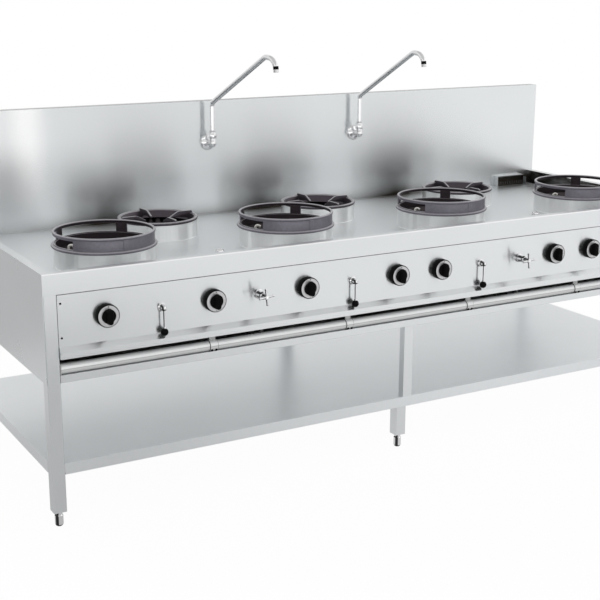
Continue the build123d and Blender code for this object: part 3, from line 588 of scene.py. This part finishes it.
class WokRangeColours(bpy.types.PropertyGroup):
    sheet: colour("Sheet steel", "Satin sheets of the body", (0.76, 0.78, 0.79))
    shelf: colour("Shelf steel", "Undershelf", (0.81, 0.835, 0.85))
    tube: colour("Tube steel", "Legs, post and beam", (0.76, 0.78, 0.79))
    well: colour("Well steel", "Outside of the wells, rail and bottom pan", (0.92, 0.93, 0.93))
    chrome: colour("Chrome", "Faucets, handles and feet", (0.83, 0.83, 0.84))
    iron: colour("Cast iron", "Wok rings and burners", (0.205, 0.195, 0.225))
    dark_iron: colour("Dark iron", "Pan supports", (0.085, 0.074, 0.088))
    # lighter colour of iron faces turned up: rubbed wear and a painted highlight
    rubbed_and_lit: colour("Rubbed iron", "Edges that the pans rub", (0.46, 0.45, 0.47))
    soot: colour("Sooty iron", "Inside of the rings", (0.056, 0.045, 0.052))
    sooty: colour("Sooty sheet", "Inside of the wells", (0.060, 0.052, 0.055))
    plastic: colour("Black plastic", "Knobs, bezels and lever balls", (0.004, 0.004, 0.004))
    dial: colour("Dial plate", "Silver ring round each knob", (0.62, 0.62, 0.63))
    ceramic: colour("Ceramic", "Igniters", (0.80, 0.79, 0.75))
    brass: colour("Brass", "Valves and pilot tubes", (0.62, 0.45, 0.20))
    pipe: colour("Pipe", "Gas and water pipes", (0.42, 0.42, 0.43))


# ---------------------------------------------------------------- operators

class WOKRANGE_OT_stage(bpy.types.Operator):
    """Adds the floor, the soft lamps, the plain background and the camera"""
    bl_idname = "wok_range.stage"
    bl_label = "Stage, Lamps and Camera"

    def execute(self, context):
        scene = context.scene
        scene.view_settings.view_transform = "Standard"
        self.camera(scene)
        self.floor(scene)
        self.background(scene)
        self.lamp(scene, "key_lamp", (-3.4, -3.0, 3.6), (0.0, -0.1, 0.7), 3.2, 34.0)
        self.lamp(scene, "fill_lamp", (3.8, -2.6, 2.8), (0.3, 0.0, 0.7), 3.0, 16.0)
        self.lamp(scene, "top_lamp", (0.0, 0.3, 4.6), (0.0, 0.0, 0.8), 3.4, 20.0)
        return {"FINISHED"}

    def camera(self, scene):
        lens = bpy.data.cameras.new("camera")
        lens.lens = 71.9
        lens.sensor_width = 36.0
        camera = bpy.data.objects.new("camera", lens)
        scene.collection.objects.link(camera)
        yaw, pitch, roll = 0.521, 0.258, 0.003
        ahead = Vector((sin(yaw) * cos(pitch), cos(yaw) * cos(pitch), -sin(pitch)))
        right = Vector((cos(yaw), -sin(yaw), 0.0))
        above = right.cross(ahead)
        right, above = right * cos(roll) + above * sin(roll), above * cos(roll) - right * sin(roll)
        camera.matrix_world = Matrix.Translation((-2.4651, -3.9593, 1.7149)) @ Matrix(
            (right, above, -ahead)).transposed().to_4x4()
        scene.camera = camera

    def floor(self, scene):
        mesh = bpy.data.meshes.new("floor")
        ground = bmesh.new()
        bmesh.ops.create_grid(ground, x_segments=1, y_segments=1, size=30.0)
        bmesh.ops.translate(ground, vec=(0.0, 0.0, -0.0005), verts=ground.verts)
        ground.to_mesh(mesh)
        ground.free()
        floor = bpy.data.objects.new("floor", mesh)
        scene.collection.objects.link(floor)
        made = Finish("pale_floor")
        seen = self.seen(made)
        pale = made.node("ShaderNodeBsdfDiffuse", None, {"Color": (0.88, 0.88, 0.88, 1.0)})
        camera = made.node("ShaderNodeLightPath", output="Is Camera Ray")
        away = made.node("ShaderNodeVectorMath", {"operation": "LENGTH"}, {0: made.spot()}, output=1)
        across, back = made.parts(made.spot(), "xy")
        forward = 0.0 - back
        # reflections show a floor lit unevenly: close to the range, a strip before it, far off and behind it
        near = 0.28 + 0.95 * made.ramp(across, -0.3, 0.6) - 0.13 * made.ramp(across, 1.0, 1.6)
        far = 1.62 - 0.84 * made.ramp(across, 0.5, 1.4) + 0.28 * made.ramp(across, 2.0, 3.4)
        behind = made.ramp(0.0 - forward, 0.3, 0.8) * (1.0 - made.ramp(0.0 - forward, 1.3, 1.7))
        close = 0.55 + 0.17 * made.ramp(across, -0.9, -0.2) + 0.13 * made.ramp(across, 0.0, 0.7) \
            + behind * (0.14 + 0.36 * made.ramp(across, -0.2, 0.8))
        mirrored = close + made.ramp(forward, 1.9, 2.6) * (near - close) \
            + made.ramp(forward, 3.2, 3.5) * (far - near)
        glow = made.node("ShaderNodeEmission", None,
                         {"Color": camera + (1.0 - camera) * mirrored, "Strength": 1.0})
        both = made.node("ShaderNodeMixShader", None, {0: seen * (0.97 + 0.03 * made.ramp(away, 1.4, 2.4)),
                                                       1: pale, 2: glow})
        made.node("ShaderNodeOutputMaterial", None, {"Surface": both})
        mesh.materials.append(made.material)

    def seen(self, made):
        """1 for rays that come straight or by reflection from the camera."""
        camera, glossy, through = [made.node("ShaderNodeLightPath", output=f"Is {ray} Ray")
                                   for ray in ("Camera", "Glossy", "Transmission")]
        return camera.math("MAXIMUM", camera.math("MAXIMUM", camera, glossy), through)

    def background(self, scene):
        world = bpy.data.worlds.new("studio")
        scene.world = world
        world.use_nodes = True
        made = Finish.__new__(Finish)
        made.tree = world.node_tree
        made.tree.nodes.clear()
        seen = self.seen(made)
        camera = made.node("ShaderNodeLightPath", output="Is Camera Ray")
        heading = made.node("ShaderNodeTexCoord", output="Generated")
        east, north, up = made.parts(heading, "xyz")
        # reflections show a dark wall to the left, a dimmer front, back and ceiling, and a bright strip in front
        level = 1.0 - made.ramp(up.math("ABSOLUTE", up), 0.35, 0.65)
        sideways = made.ramp(0.55 - north.math("ABSOLUTE", north), 0.0, 0.15)
        left = made.ramp(0.0 - east, 0.72, 0.9) * sideways * level
        front = made.ramp(0.0 - north, 0.2, 0.8) * made.ramp(0.6 - east, 0.0, 0.5) * level
        strip = made.ramp(up, 0.38, 0.43) * (1.0 - made.ramp(up, 0.56, 0.62)) * made.ramp(0.0 - north, -0.2, 0.1)
        glossy = 1.0 - 0.65 * left - 0.18 * front - 0.34 * made.ramp(up, 0.64, 0.72) + 0.5 * strip \
            - 0.12 * made.ramp(north, 0.2, 0.8)
        shade = made.node("ShaderNodeBackground", None, {
            "Color": camera + (1.0 - camera) * (seen * glossy + (1.0 - seen) * 0.62), "Strength": 1.0})
        made.node("ShaderNodeOutputWorld", None, {"Surface": shade})

    def lamp(self, scene, name, place, target, size, power):
        light = bpy.data.lights.new(name, "AREA")
        light.size = size
        light.energy = power
        lamp = bpy.data.objects.new(name, light)
        lamp.location = place
        lamp.visible_glossy = False
        lamp.rotation_euler = (Vector(target) - Vector(place)).to_track_quat("-Z", "Y").to_euler()
        scene.collection.objects.link(lamp)


class WOKRANGE_OT_finishes(bpy.types.Operator):
    """Gives every solid that is kept as it is the finish of its real counterpart"""
    bl_idname = "wok_range.finishes"
    bl_label = "Finishes of the Solids"

    GROUPS = {
        "sheet_deck": ["worktop"],
        "sheet_level": ["shelf", "drain_gully"],
        "sheet_splash": ["splashback"],
        "sheet_strainer": ["drain_strainer"],
        "sheet_upright": ["control_panel"],
        "sheet_side": ["side_panel_left", "side_panel_right"],
        "tube_upright": ["leg_front_left", "leg_front_right", "leg_front_middle", "legs_rear",
                         "post_front_middle"],
        "tube_level": ["front_beam"],
        "rail": ["front_rail", "rail_brackets"],
        "sheet_pan": ["bottom_pan"],
        "chrome": ["tap_bodies", "faucet_bodies", "lever_sockets"],
        "bright_chrome": ["deck_nozzles"],
        "cast_iron": ["wok_burners", "rear_burners"],
        "black_plastic": ["knob_bezels", "panel_screws"],
        "brass": ["gas_valves", "pilot_burners"],
        "pipe": ["gas_manifold", "water_pipes"],
        "ceramic": ["igniters"],
    }
    STEMS = {
        "chrome": ["cross_handle_", "faucet_spout_"],
        "cast_iron": ["wok_ring_", "pan_support_"],
        "black_plastic": ["knob_", "pilot_lever_"],
    }

    def execute(self, context):
        groups = {name: list(nodes) for name, nodes in self.GROUPS.items()}
        for name, stems in self.STEMS.items():
            for stem in stems:
                groups[name] += numbered(stem)
        groups["chrome"] += [node for node in NODES if node.startswith("foot_")]
        for name, nodes in groups.items():
            for node in nodes:
                materials = NODES[node].data.materials
                for place in range(max(1, len(materials))):
                    if place < len(materials):
                        materials[place] = finish(name)
                    else:
                        materials.append(finish(name))
        return {"FINISHED"}


class WOKRANGE_OT_wells(bpy.types.Operator):
    """Makes the wells of the burners: satin outside, sooty inside, with a rounded rim"""
    bl_idname = "wok_range.wells"
    bl_label = "Burner Wells"

    def execute(self, context):
        for node, count, y, radius in (("wok_wells", 4, WOK_Y, WOK_WELL), ("rear_wells", 3, REAR_Y, REAR_WELL)):
            first, last = (corner[0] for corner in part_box(node))
            axes = [first + radius + k * (last - first - 2 * radius) / (count - 1) for k in range(count)]
            shell = Shape()
            shell.mesh.from_mesh(NODES[node].data)
            bmesh.ops.remove_doubles(shell.mesh, verts=shell.mesh.verts, dist=1e-6)
            bmesh.ops.recalc_face_normals(shell.mesh, faces=shell.mesh.faces)
            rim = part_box(node)[1][2] - 0.0015
            for face in shell.mesh.faces:
                spot = face.calc_center_median()
                axis = min(axes, key=lambda x: abs(spot.x - x))
                outward = Vector((spot.x - axis, spot.y - y))
                looks_in = face.normal.to_2d().dot(outward.normalized()) < -0.3 or face.normal.z > 0.5
                face.material_index = int(outward.length < radius - 0.0009 and looks_in and spot.z < rim)
            shell.finish_as(node + "_sheet", "chassis", ["sheet_well", "sooty_sheet"], [node])
        return {"FINISHED"}


class WOKRANGE_OT_knobs(bpy.types.Operator):
    """Makes the seven gas knobs with their bezels and dial rings"""
    bl_idname = "wok_range.knobs"
    bl_label = "Gas Knobs"

    def execute(self, context):
        sizes = context.scene.wok_range_sizes
        radius, depth = sizes.bezel_radius, sizes.bezel_depth
        rings = Shape()
        for node in numbered("knob_"):
            x = middle(node).x
            wall = on_panel(x)
            rings.hoop([(radius - 0.004, 0.0), (radius, 0.0), (radius, depth - 0.003), (radius - 0.0012, depth),
                        (radius - 0.0028, depth), (radius - 0.0028, depth - 0.0012), (0.008, depth - 0.0012),
                        (0.008, 0.0), (0.012, 0.0), (0.012, depth - 0.004), (radius - 0.004, depth - 0.004)],
                       wall, FRONT)
            rings.hoop([(0.010, depth - 0.0014), (radius - 0.0030, depth - 0.0014),
                        (radius - 0.0030, depth - 0.0004), (radius - 0.0034, depth - 0.0001),
                        (0.010, depth - 0.0001)], wall, FRONT, material=1)
            self.marks(rings, wall + FRONT * depth, radius - 0.0068)
            self.grip(node, x, sizes)
        rings.finish_as("knob_bezel_rings", "chassis", ["black_plastic", "dial"],
                        ["knob_bezels"])
        return {"FINISHED"}

    def marks(self, rings, centre, reach):
        """A dot at the top and short strokes down the right side of the dial."""
        for angle, size in ((90.0, 0.0019), (0.0, 0.0010), (-90.0, 0.0013)):
            spot = centre + Vector((cos(radians(angle)), 0.0, sin(radians(angle)))) * reach
            rings.turned([(0.0, -0.0004), (size, -0.0004), (size, 0.0001), (0.0, 0.0001)], spot, FRONT, steps=16)
        for angle in range(-75, 0, 15):
            turn = Matrix.Translation(centre) @ Matrix.Rotation(-radians(angle), 4, "Y")
            rings.block((reach - 0.0018, -0.0001, -0.00025), (reach + 0.0018, 0.0004, 0.00025), matrix=turn)

    def grip(self, node, x, sizes):
        """Round boss with a bar across it that narrows towards its front."""
        back = on_panel(x, sizes.bezel_depth + 0.0004)
        boss = sizes.grip_radius
        knob = Shape()
        knob.turned([(0.0, -0.014), (0.0068, -0.014), (0.0068, 0.0), (boss - 0.0006, 0.0), (boss, 0.0008),
                     (boss, 0.0036), (boss - 0.0012, 0.0050), (boss - 0.006, 0.0056), (0.0, 0.0058)], back, FRONT)
        bar = bmesh.new()
        bmesh.ops.create_cube(bar, size=1.0)
        bmesh.ops.scale(bar, vec=(0.022, sizes.grip_height, 0.052), verts=bar.verts)
        bmesh.ops.translate(bar, vec=(0.0, -sizes.grip_height / 2 - 0.0048, 0.0), verts=bar.verts)
        upright = [edge for edge in bar.edges if abs(edge.verts[0].co.y - edge.verts[1].co.y) > 0.001]
        round_edges(bar, upright, 0.010, 6)
        front = min(vert.co.y for vert in bar.verts) + 1e-5
        for vert in bar.verts:
            if vert.co.y < front:
                vert.co.x *= 0.80
                vert.co.z *= 0.955
        rim = [edge for edge in bar.edges if all(vert.co.y < front for vert in edge.verts)]
        round_edges(bar, rim, 0.0026, 3)
        knob.take(bar, Matrix.Translation(back))
        knob.finish_as(node + "_grip", BODY_OF[node], ["black_plastic"], [node])


class WOKRANGE_OT_levers(bpy.types.Operator):
    """Makes the four pilot levers and the nuts that hold them to the panel"""
    bl_idname = "wok_range.levers"
    bl_label = "Pilot Levers"

    def execute(self, context):
        sizes = context.scene.wok_range_sizes
        nuts = Shape()
        for node in numbered("pilot_lever_"):
            x = middle(node).x
            hub = on_panel(x, 0.019)
            ball = hub - UP * 0.080
            nuts.hoop([(0.0086, 0.0), (0.0150, 0.0), (0.0148, 0.0016), (0.0128, 0.0030), (0.0086, 0.0032)],
                      on_panel(x), FRONT)
            nuts.hexagon(on_panel(x, 0.0056), FRONT, 0.023, 0.0050)
            nuts.hoop([(0.0086, 0.0), (0.0098, 0.0), (0.0098, 0.0022), (0.0086, 0.0022)],
                      on_panel(x, 0.0081), FRONT, material=1)
            lever = Shape()
            lever.turned([(0.0041, -0.0085), (0.0080, -0.0085), (0.0090, -0.0075), (0.0090, 0.0020),
                          (0.0078, 0.0052), (0.0050, 0.0078), (0.0022, 0.0088), (0.0, 0.0090)], hub, FRONT, 32)
            lever.rod(hub - UP * 0.0046, ball + UP * 0.010, 0.0036, 0.0031)
            lever.hoop([(0.0030, -0.0025), (0.0052, -0.0025), (0.0056, 0.0), (0.0052, 0.0025), (0.0030, 0.0025)],
                       ball + UP * 0.0145, UP, 20)
            lever.ball(ball, sizes.ball_radius, 28, 1)
            lever.finish_as(node + "_arm", BODY_OF[node], ["chrome", "black_plastic"], [node])
        nuts.finish_as("lever_nuts", "chassis", ["chrome", "black_plastic"])
        return {"FINISHED"}


class WOKRANGE_OT_taps(bpy.types.Operator):
    """Makes the two cross handles and the bonnets of the water taps"""
    bl_idname = "wok_range.taps"
    bl_label = "Water Taps"

    def execute(self, context):
        bonnets = Shape()
        for node in numbered("cross_handle_"):
            x = middle(node).x
            wall = on_panel(x)
            bonnets.hoop([(0.0100, 0.0), (0.0168, 0.0), (0.0168, 0.0032), (0.0156, 0.0046), (0.0140, 0.0052),
                          (0.0100, 0.0054)], wall, FRONT)
            bonnets.hexagon(wall + FRONT * 0.034, FRONT, 0.027, 0.009)
            for reach, size in ((0.0285, 0.0128), (0.0395, 0.0094), (0.0465, 0.0080)):
                bonnets.hoop([(0.0042, -0.0012), (size, -0.0012), (size, 0.0012), (0.0042, 0.0012)],
                             wall + FRONT * reach, FRONT, 24, material=1)
            bonnets.hoop([(0.0042, 0.0), (0.0088, 0.0), (0.0092, 0.0012), (0.0078, 0.0060), (0.0042, 0.0064)],
                         wall + FRONT * 0.0385, FRONT, 24)
            self.handle(node, x)
        bonnets.finish_as("tap_bonnets", "chassis", ["chrome", "black_plastic"])
        return {"FINISHED"}

    def handle(self, node, x):
        """Hub with a cap and four arms that end in knobs."""
        hub = on_panel(x, 0.058)
        cross = Shape()
        cross.turned([(0.0041, -0.0120), (0.0066, -0.0120), (0.0076, -0.0108), (0.0070, -0.0060),
                      (0.0084, -0.0036), (0.0084, 0.0030), (0.0074, 0.0046), (0.0048, 0.0052), (0.0045, 0.0059),
                      (0.0, 0.0060)], hub, FRONT, 32)
        for quarter in range(4):
            angle = radians(90 * quarter + 6)
            way = Vector((cos(angle), 0.0, sin(angle)))
            cross.rod(hub + way * 0.005, hub + way * 0.0235, 0.0040, 0.0034, 16)
            cross.turned([(0.0, -0.0040), (0.0036, -0.0036), (0.0044, -0.0012), (0.0044, 0.0014), (0.0032, 0.0034),
                          (0.0, 0.0040)], hub + way * 0.0260, way, 16)
        cross.finish_as(node + "_arms", BODY_OF[node], ["chrome"], [node])


class WOKRANGE_OT_faucets(bpy.types.Operator):
    """Makes the two wall faucets and their swinging spouts"""
    bl_idname = "wok_range.faucets"
    bl_label = "Faucets"

    AXIS_Y = SPLASH_Y - 0.047
    BODY_Z = 1.087
    SPOUT_X = WOK_PITCH / 2
    RISE = 25.7             # slope of a spout's arm, in degrees
    KNEE_Z = 1.250          # bend between a spout's riser and its arm
    REACH = 0.424           # from the riser to the bend before the mouth

    def execute(self, context):
        radius = context.scene.wok_range_sizes.spout_radius
        bodies = Shape()
        for node, x, swing in (("faucet_spout_1", -self.SPOUT_X, 2.5), ("faucet_spout_2", self.SPOUT_X, -2.7)):
            wall = Vector((x, SPLASH_Y, self.BODY_Z))
            stem = Vector((x, self.AXIS_Y, self.BODY_Z))
            bodies.turned([(0.0, -0.012), (0.0100, -0.012), (0.0100, 0.0), (0.0320, 0.0), (0.0322, 0.0024),
                           (0.0312, 0.0046), (0.0270, 0.0074), (0.0205, 0.0100), (0.0150, 0.0118),
                           (0.0118, 0.0130), (0.0112, 0.0150), (0.0112, 0.0420)], wall, FRONT, 64)
            bodies.ball(stem, 0.0152, 32)
            bodies.hoop([(0.0090, 0.0), (0.0137, 0.0), (0.0137, 0.0178), (0.0128, 0.0192), (0.0128, 0.0210),
                         (0.0090, 0.0210)], stem, UP, 32)
            bodies.hexagon(stem + UP * 0.0325, UP, 0.0345, 0.0240, 0.0012)
            bodies.hoop([(0.0101, 0.0), (0.0136, 0.0), (0.0136, 0.0020), (0.0118, 0.0032), (0.0101, 0.0032)],
                        stem + UP * 0.0445, UP, 32)
            self.spout(node, x, swing, radius)
        bodies.finish_as("faucet_wall_bodies", "chassis", ["bright_chrome"], ["faucet_bodies"])
        return {"FINISHED"}

    def path(self):
        """Corners of the spout's line as (reach, height), each with the radius that rounds it."""
        peak = self.KNEE_Z + self.REACH * tan(radians(self.RISE))
        return [((0.0, self.BODY_Z + 0.012), 0.0), ((0.0, self.KNEE_Z), 0.020), ((self.REACH, peak), 0.056),
                ((0.493, 1.447), 0.050), ((0.500, 1.402), 0.0)]

    def spout(self, node, x, swing, radius):
        """Tube grown from its foot: straight runs are extruded, bends are spun."""
        form = bmesh.new()
        bmesh.ops.create_circle(form, cap_ends=True, segments=24, radius=radius)
        line = [(Vector((0.0, -reach, height)), bend) for (reach, height), bend in self.path()]
        bmesh.ops.translate(form, vec=line[0][0], verts=form.verts)
        tip, spot = form.faces[:], line[0][0]
        for (before, _), (corner, bend), (after, _) in zip(line, line[1:], line[2:]):
            first, second = (corner - before).normalized(), (after - corner).normalized()
            angle = first.angle(second)
            start = corner - first * bend * tan(angle / 2)
            tip = self.extend(form, tip, start - spot)
            pivot = start + Vector((0.0, -first.z, first.y)) * bend
            spun = bmesh.ops.spin(form, geom=tip, cent=pivot, axis=(1.0, 0.0, 0.0), angle=angle, steps=9)
            tip = only(spun["geom_last"], bmesh.types.BMFace)
            spot = corner + second * bend * tan(angle / 2)
        mouth = line[-1][0]
        self.extend(form, tip, mouth - spot)
        place = Matrix.Translation((x, self.AXIS_Y, 0.0)) @ Matrix.Rotation(radians(swing), 4, "Z")
        tube = Shape()
        tube.take(form, place)
        centre = place @ mouth
        along = (place.to_3x3() @ second).normalized()
        tube.hoop([(radius - 0.0002, -0.0215), (radius + 0.0004, -0.0210), (radius + 0.0004, -0.0100),
                   (radius - 0.0002, -0.0095)], centre, along, 24, material=1)
        tube.turned([(radius - 0.0002, -0.0095), (radius + 0.0006, -0.0085), (radius + 0.0006, 0.0),
                     (radius - 0.0012, 0.0), (radius - 0.0012, -0.0030), (0.0, -0.0030)],
                    centre + along * 0.0004, along, 24)
        tube.turned([(0.0, 0.0), (radius - 0.0014, 0.0), (radius - 0.0014, 0.0006), (0.0, 0.0006)],
                    centre - along * 0.0027, along, 24, material=1)
        tube.hoop([(radius - 0.0004, 0.0), (radius + 0.0016, 0.0), (radius + 0.0020, 0.0010),
                   (radius + 0.0020, 0.0046), (radius + 0.0008, 0.0060), (radius - 0.0004, 0.0060)],
                  (x, self.AXIS_Y, self.BODY_Z + 0.0482), UP, 32)
        tube.finish_as(node + "_tube", BODY_OF[node], ["bright_chrome", "black_plastic"], [node])

    def extend(self, form, tip, way):
        """Pulls the faces at the tip out along a way and gives back the new tip."""
        grown = bmesh.ops.extrude_face_region(form, geom=tip)["geom"]
        bmesh.ops.translate(form, vec=way, verts=only(grown, bmesh.types.BMVert))
        return only(grown, bmesh.types.BMFace)


class WOKRANGE_OT_wok_rings(bpy.types.Operator):
    """Makes the four cast wok rings with their windows and rolled edges"""
    bl_idname = "wok_range.wok_rings"
    bl_label = "Wok Rings"

    WINDOWS = ((-30.0, 41.0), (55.0, 128.0), (142.0, 213.0))     # degrees from +X

    def execute(self, context):
        sizes = context.scene.wok_range_sizes
        roll, steps = sizes.roll_radius, sizes.round_steps
        low_roll = roll + 0.0005
        for node in numbered("wok_ring_"):
            centre = Vector((middle(node).x, WOK_Y, 0.0))
            ring = Shape()
            for radius, z, size in ((0.174, 0.861, low_roll), (0.1695, 0.906, roll)):
                ring.hoop(round_section(radius, z, size), centre, UP, steps)
            ring.hoop([(0.163, 0.838), (0.1668, 0.838), (0.168, 0.842), (0.168, 0.8570), (0.174, 0.8570),
                       (0.174, 0.8650), (0.172, 0.8658), (0.172, 0.869), (0.167, 0.869), (0.167, 0.866),
                       (0.163, 0.866)], centre, UP, steps)
            ring.hoop([(0.167, 0.898), (0.172, 0.898), (0.172, 0.9055), (0.167, 0.9055)], centre, UP, steps)
            edges = [angle for window in self.WINDOWS for angle in window]
            for start, end in zip(edges[1::2], edges[2::2] + [edges[0] + 360.0]):
                ring.arc_wall(0.167, 0.172, 0.868, 0.899, start, end, centre)
            self.lap(ring, centre)
            piece = ring.finish_as(node + "_casting", BODY_OF[node], ["cast_iron", "sooty_iron"],
                                   [node], soften=0.0008)
            self.soot(piece.data, centre)
        return {"FINISHED"}

    def soot(self, mesh, centre):
        """Blackens the faces that look at the fire."""
        for face in mesh.polygons:
            outward = (face.center - centre).to_2d().normalized()
            if face.normal.to_2d().dot(outward) < -0.5 and face.center.z < 0.9085:
                face.material_index = 1

    def lap(self, ring, centre):
        """Narrow strip over the joint of the cast wall, at the front, with a bead down each side."""
        ring.arc_wall(0.1715, 0.1738, 0.8660, 0.9020, 271.0, 275.4, centre, steps=3)
        for angle in (270.9, 275.5):
            way = Vector((cos(radians(angle)), sin(radians(angle)), 0.0))
            ring.rod(centre + way * 0.1724 + UP * 0.866, centre + way * 0.1724 + UP * 0.902, 0.0010, steps=8)


class WOKRANGE_OT_pan_supports(bpy.types.Operator):
    """Makes the three cast pan supports with their four fins"""
    bl_idname = "wok_range.pan_supports"
    bl_label = "Pan Supports"

    def execute(self, context):
        steps = context.scene.wok_range_sizes.round_steps
        for node in numbered("pan_support_"):
            centre = Vector((middle(node).x, REAR_Y, 0.0))
            grate = Shape()
            grate.hoop(round_section(0.146, 0.857, 0.006), centre, UP, steps)
            grate.hoop([(0.145, 0.861), (0.138, 0.859), (0.122, 0.834), (0.1235, 0.8325), (0.126, 0.832),
                        (0.142, 0.854), (0.145, 0.853)], centre, UP, steps)
            for quarter in range(4):
                turn = Matrix.Translation(centre) @ Matrix.Rotation(radians(4 + 90 * quarter), 4, "Z") \
                    @ Matrix.Rotation(pi / 2, 4, "X")
                grate.plate([(0.147, 0.857), (0.1475, 0.866), (0.144, 0.871), (0.090, 0.871), (0.083, 0.869),
                             (0.051, 0.852), (0.050, 0.847), (0.053, 0.844), (0.084, 0.850), (0.126, 0.843)],
                            0.008, turn, soft=0.0012)
            piece = grate.finish_as(node + "_casting", BODY_OF[node], ["dark_iron", "sooty_iron"],
                                    [node], soften=0.0006)
            self.soot(piece.data, centre)
        return {"FINISHED"}

    def soot(self, mesh, centre):
        """Blackens the dish below the roll."""
        for face in mesh.polygons:
            outward = (face.center - centre).to_2d()
            if outward.length < 0.1415 and face.center.z < 0.8595 and face.normal.to_2d().dot(outward) < 0.0 \
                    and abs(face.normal.z) > 0.2:
                face.material_index = 1


class WOKRANGE_OT_details(bpy.types.Operator):
    """Adds the weld beads, rail collars, burner ports, pilot hoods and a shade plate behind the strainer"""
    bl_idname = "wok_range.details"
    bl_label = "Welds and Fittings"

    def execute(self, context):
        sizes = context.scene.wok_range_sizes
        self.welds(sizes.weld_width, sizes.round_steps)
        self.collars()
        self.ports()
        self.pilots()
        self.shade_plate()
        return {"FINISHED"}

    def burners(self, wok, rear):
        """X, Y and a value for every burner: the first value for woks, the second for the rear ones."""
        return [(x, WOK_Y, wok) for x in WOK_XS] + [(x, REAR_Y, rear) for x in REAR_XS]

    def welds(self, width, steps):
        """Beads round the feet of the wells."""
        beads = Shape()
        for x, y, radius in self.burners(WOK_WELL, REAR_WELL):
            beads.hoop([(radius - 0.0004, DECK_Z - 0.0003), (radius + width, DECK_Z - 0.0003),
                        (radius + width * 0.45, DECK_Z + width * 0.22),
                        (radius + width * 0.12, DECK_Z + width * 0.6), (radius - 0.0004, DECK_Z + width)],
                       (x, y, 0.0), UP, steps)
        beads.finish_as("well_welds", "chassis", ["sheet_well"])

    def collars(self):
        """Rims, slits and set screws on the collars that hold the rail."""
        sleeves = Shape()
        radius = 0.01885
        down = radians(42)
        for k in range(4):
            spot = Vector((-0.793 + 0.539 * k, PANEL_Y + 0.017, 0.534))
            for side in (-1.0, 1.0):
                sleeves.hoop([(radius - 0.0006, 0.0), (radius + 0.0007, 0.0), (radius + 0.0007, 0.0022),
                              (radius + 0.0002, 0.0034), (radius - 0.0006, 0.0036)],
                             spot + Vector((side * 0.0140, 0.0, 0.0)), (-side, 0.0, 0.0), 40)
                sleeves.hoop([(0.0175, 0.0), (0.0183, 0.0), (0.0183, 0.0012), (0.0175, 0.0012)],
                             spot + Vector((side * 0.0142, 0.0, 0.0)), (side, 0.0, 0.0), 40, material=1)
                way = Vector((0.0, -cos(down), -sin(down)))
                screw = spot + Vector((side * 0.0082, 0.0, 0.0)) + way * radius
                sleeves.turned([(0.0, -0.0020), (0.0044, -0.0020), (0.0044, 0.0026), (0.0034, 0.0034),
                                (0.0, 0.0034)], screw, way, 16, material=1)
        sleeves.finish_as("rail_collar_rims", "chassis", ["rail", "black_plastic"])

    def ports(self):
        """Rows of flame ports and a raised hub on every burner head."""
        heads = Shape()
        for x, y, (radius, top) in self.burners((0.045, 0.716), (0.037, 0.760)):
            centre = Vector((x, y, top))
            heads.turned([(0.0, 0.0), (0.010, 0.0), (0.012, 0.002), (0.012, 0.006), (0.009, 0.009), (0.0, 0.010)],
                         centre - UP * 0.004, UP, 24)
            for k in range(18):
                port = centre + Vector((cos(tau * k / 18), sin(tau * k / 18), 0.0)) * radius
                heads.rod(port - UP * 0.002, port + UP * 0.0004, 0.0028, steps=10, material=1)
        heads.finish_as("burner_ports", "chassis", ["cast_iron", "black_plastic"])

    def pilots(self):
        """Hoods on top of the pilot tubes."""
        hoods = Shape()
        for x in WOK_XS:
            hoods.turned([(0.0052, -0.0100), (0.0070, -0.0100), (0.0076, -0.0070), (0.0062, 0.0),
                          (0.0040, 0.0030), (0.0, 0.0034), (0.0, 0.0006), (0.0052, 0.0006)],
                         (x - 0.122, WOK_Y - 0.055, 0.846), UP, 24)
        hoods.finish_as("pilot_hoods", "chassis", ["chrome"])

    def shade_plate(self):
        """Dark plate just behind the slots of the strainer: painted shade in the slots."""
        low, high = (Vector(corner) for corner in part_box("drain_strainer"))
        plate = Shape()
        # dark plate as painted shade in the strainer's slots
        plate.block((low.x + 0.003, low.y + 0.0028, low.z + 0.001),
                    (high.x - 0.003, low.y + 0.0036, high.z - 0.003))
        plate.finish_as("strainer_shade_plate", BODY_OF["drain_strainer"], ["sooty_sheet"])


OPERATORS = (WOKRANGE_OT_stage, WOKRANGE_OT_finishes, WOKRANGE_OT_wells, WOKRANGE_OT_knobs, WOKRANGE_OT_levers,
             WOKRANGE_OT_taps, WOKRANGE_OT_faucets, WOKRANGE_OT_wok_rings, WOKRANGE_OT_pan_supports,
             WOKRANGE_OT_details)


class WOKRANGE_PT_sidebar(bpy.types.Panel):
    """Steps that dress the range, in their order, with the sizes and colours they use"""
    bl_idname = "WOKRANGE_PT_sidebar"
    bl_label = "Wok Range"
    bl_space_type = "VIEW_3D"
    bl_region_type = "UI"
    bl_category = "Wok Range"

    def draw(self, context):
        column = self.layout.column()
        for step in OPERATORS:
            column.operator(step.bl_idname)
        for group in (context.scene.wok_range_sizes, context.scene.wok_range_colours):
            box = self.layout.box()
            for name in group.bl_rna.properties.keys():
                if name not in ("rna_type", "name"):
                    box.prop(group, name)


CLASSES = (WokRangeSizes, WokRangeColours, *OPERATORS, WOKRANGE_PT_sidebar)


def register():
    for each in CLASSES:
        bpy.utils.register_class(each)
    bpy.types.Scene.wok_range_sizes = PointerProperty(type=WokRangeSizes)
    bpy.types.Scene.wok_range_colours = PointerProperty(type=WokRangeColours)


def unregister():
    del bpy.types.Scene.wok_range_colours
    del bpy.types.Scene.wok_range_sizes
    for each in reversed(CLASSES):
        bpy.utils.unregister_class(each)


def main():
    register()
    for step in OPERATORS:
        group, name = step.bl_idname.split(".")
        getattr(getattr(bpy.ops, group), name)()


if __name__ == "__main__":
    main()
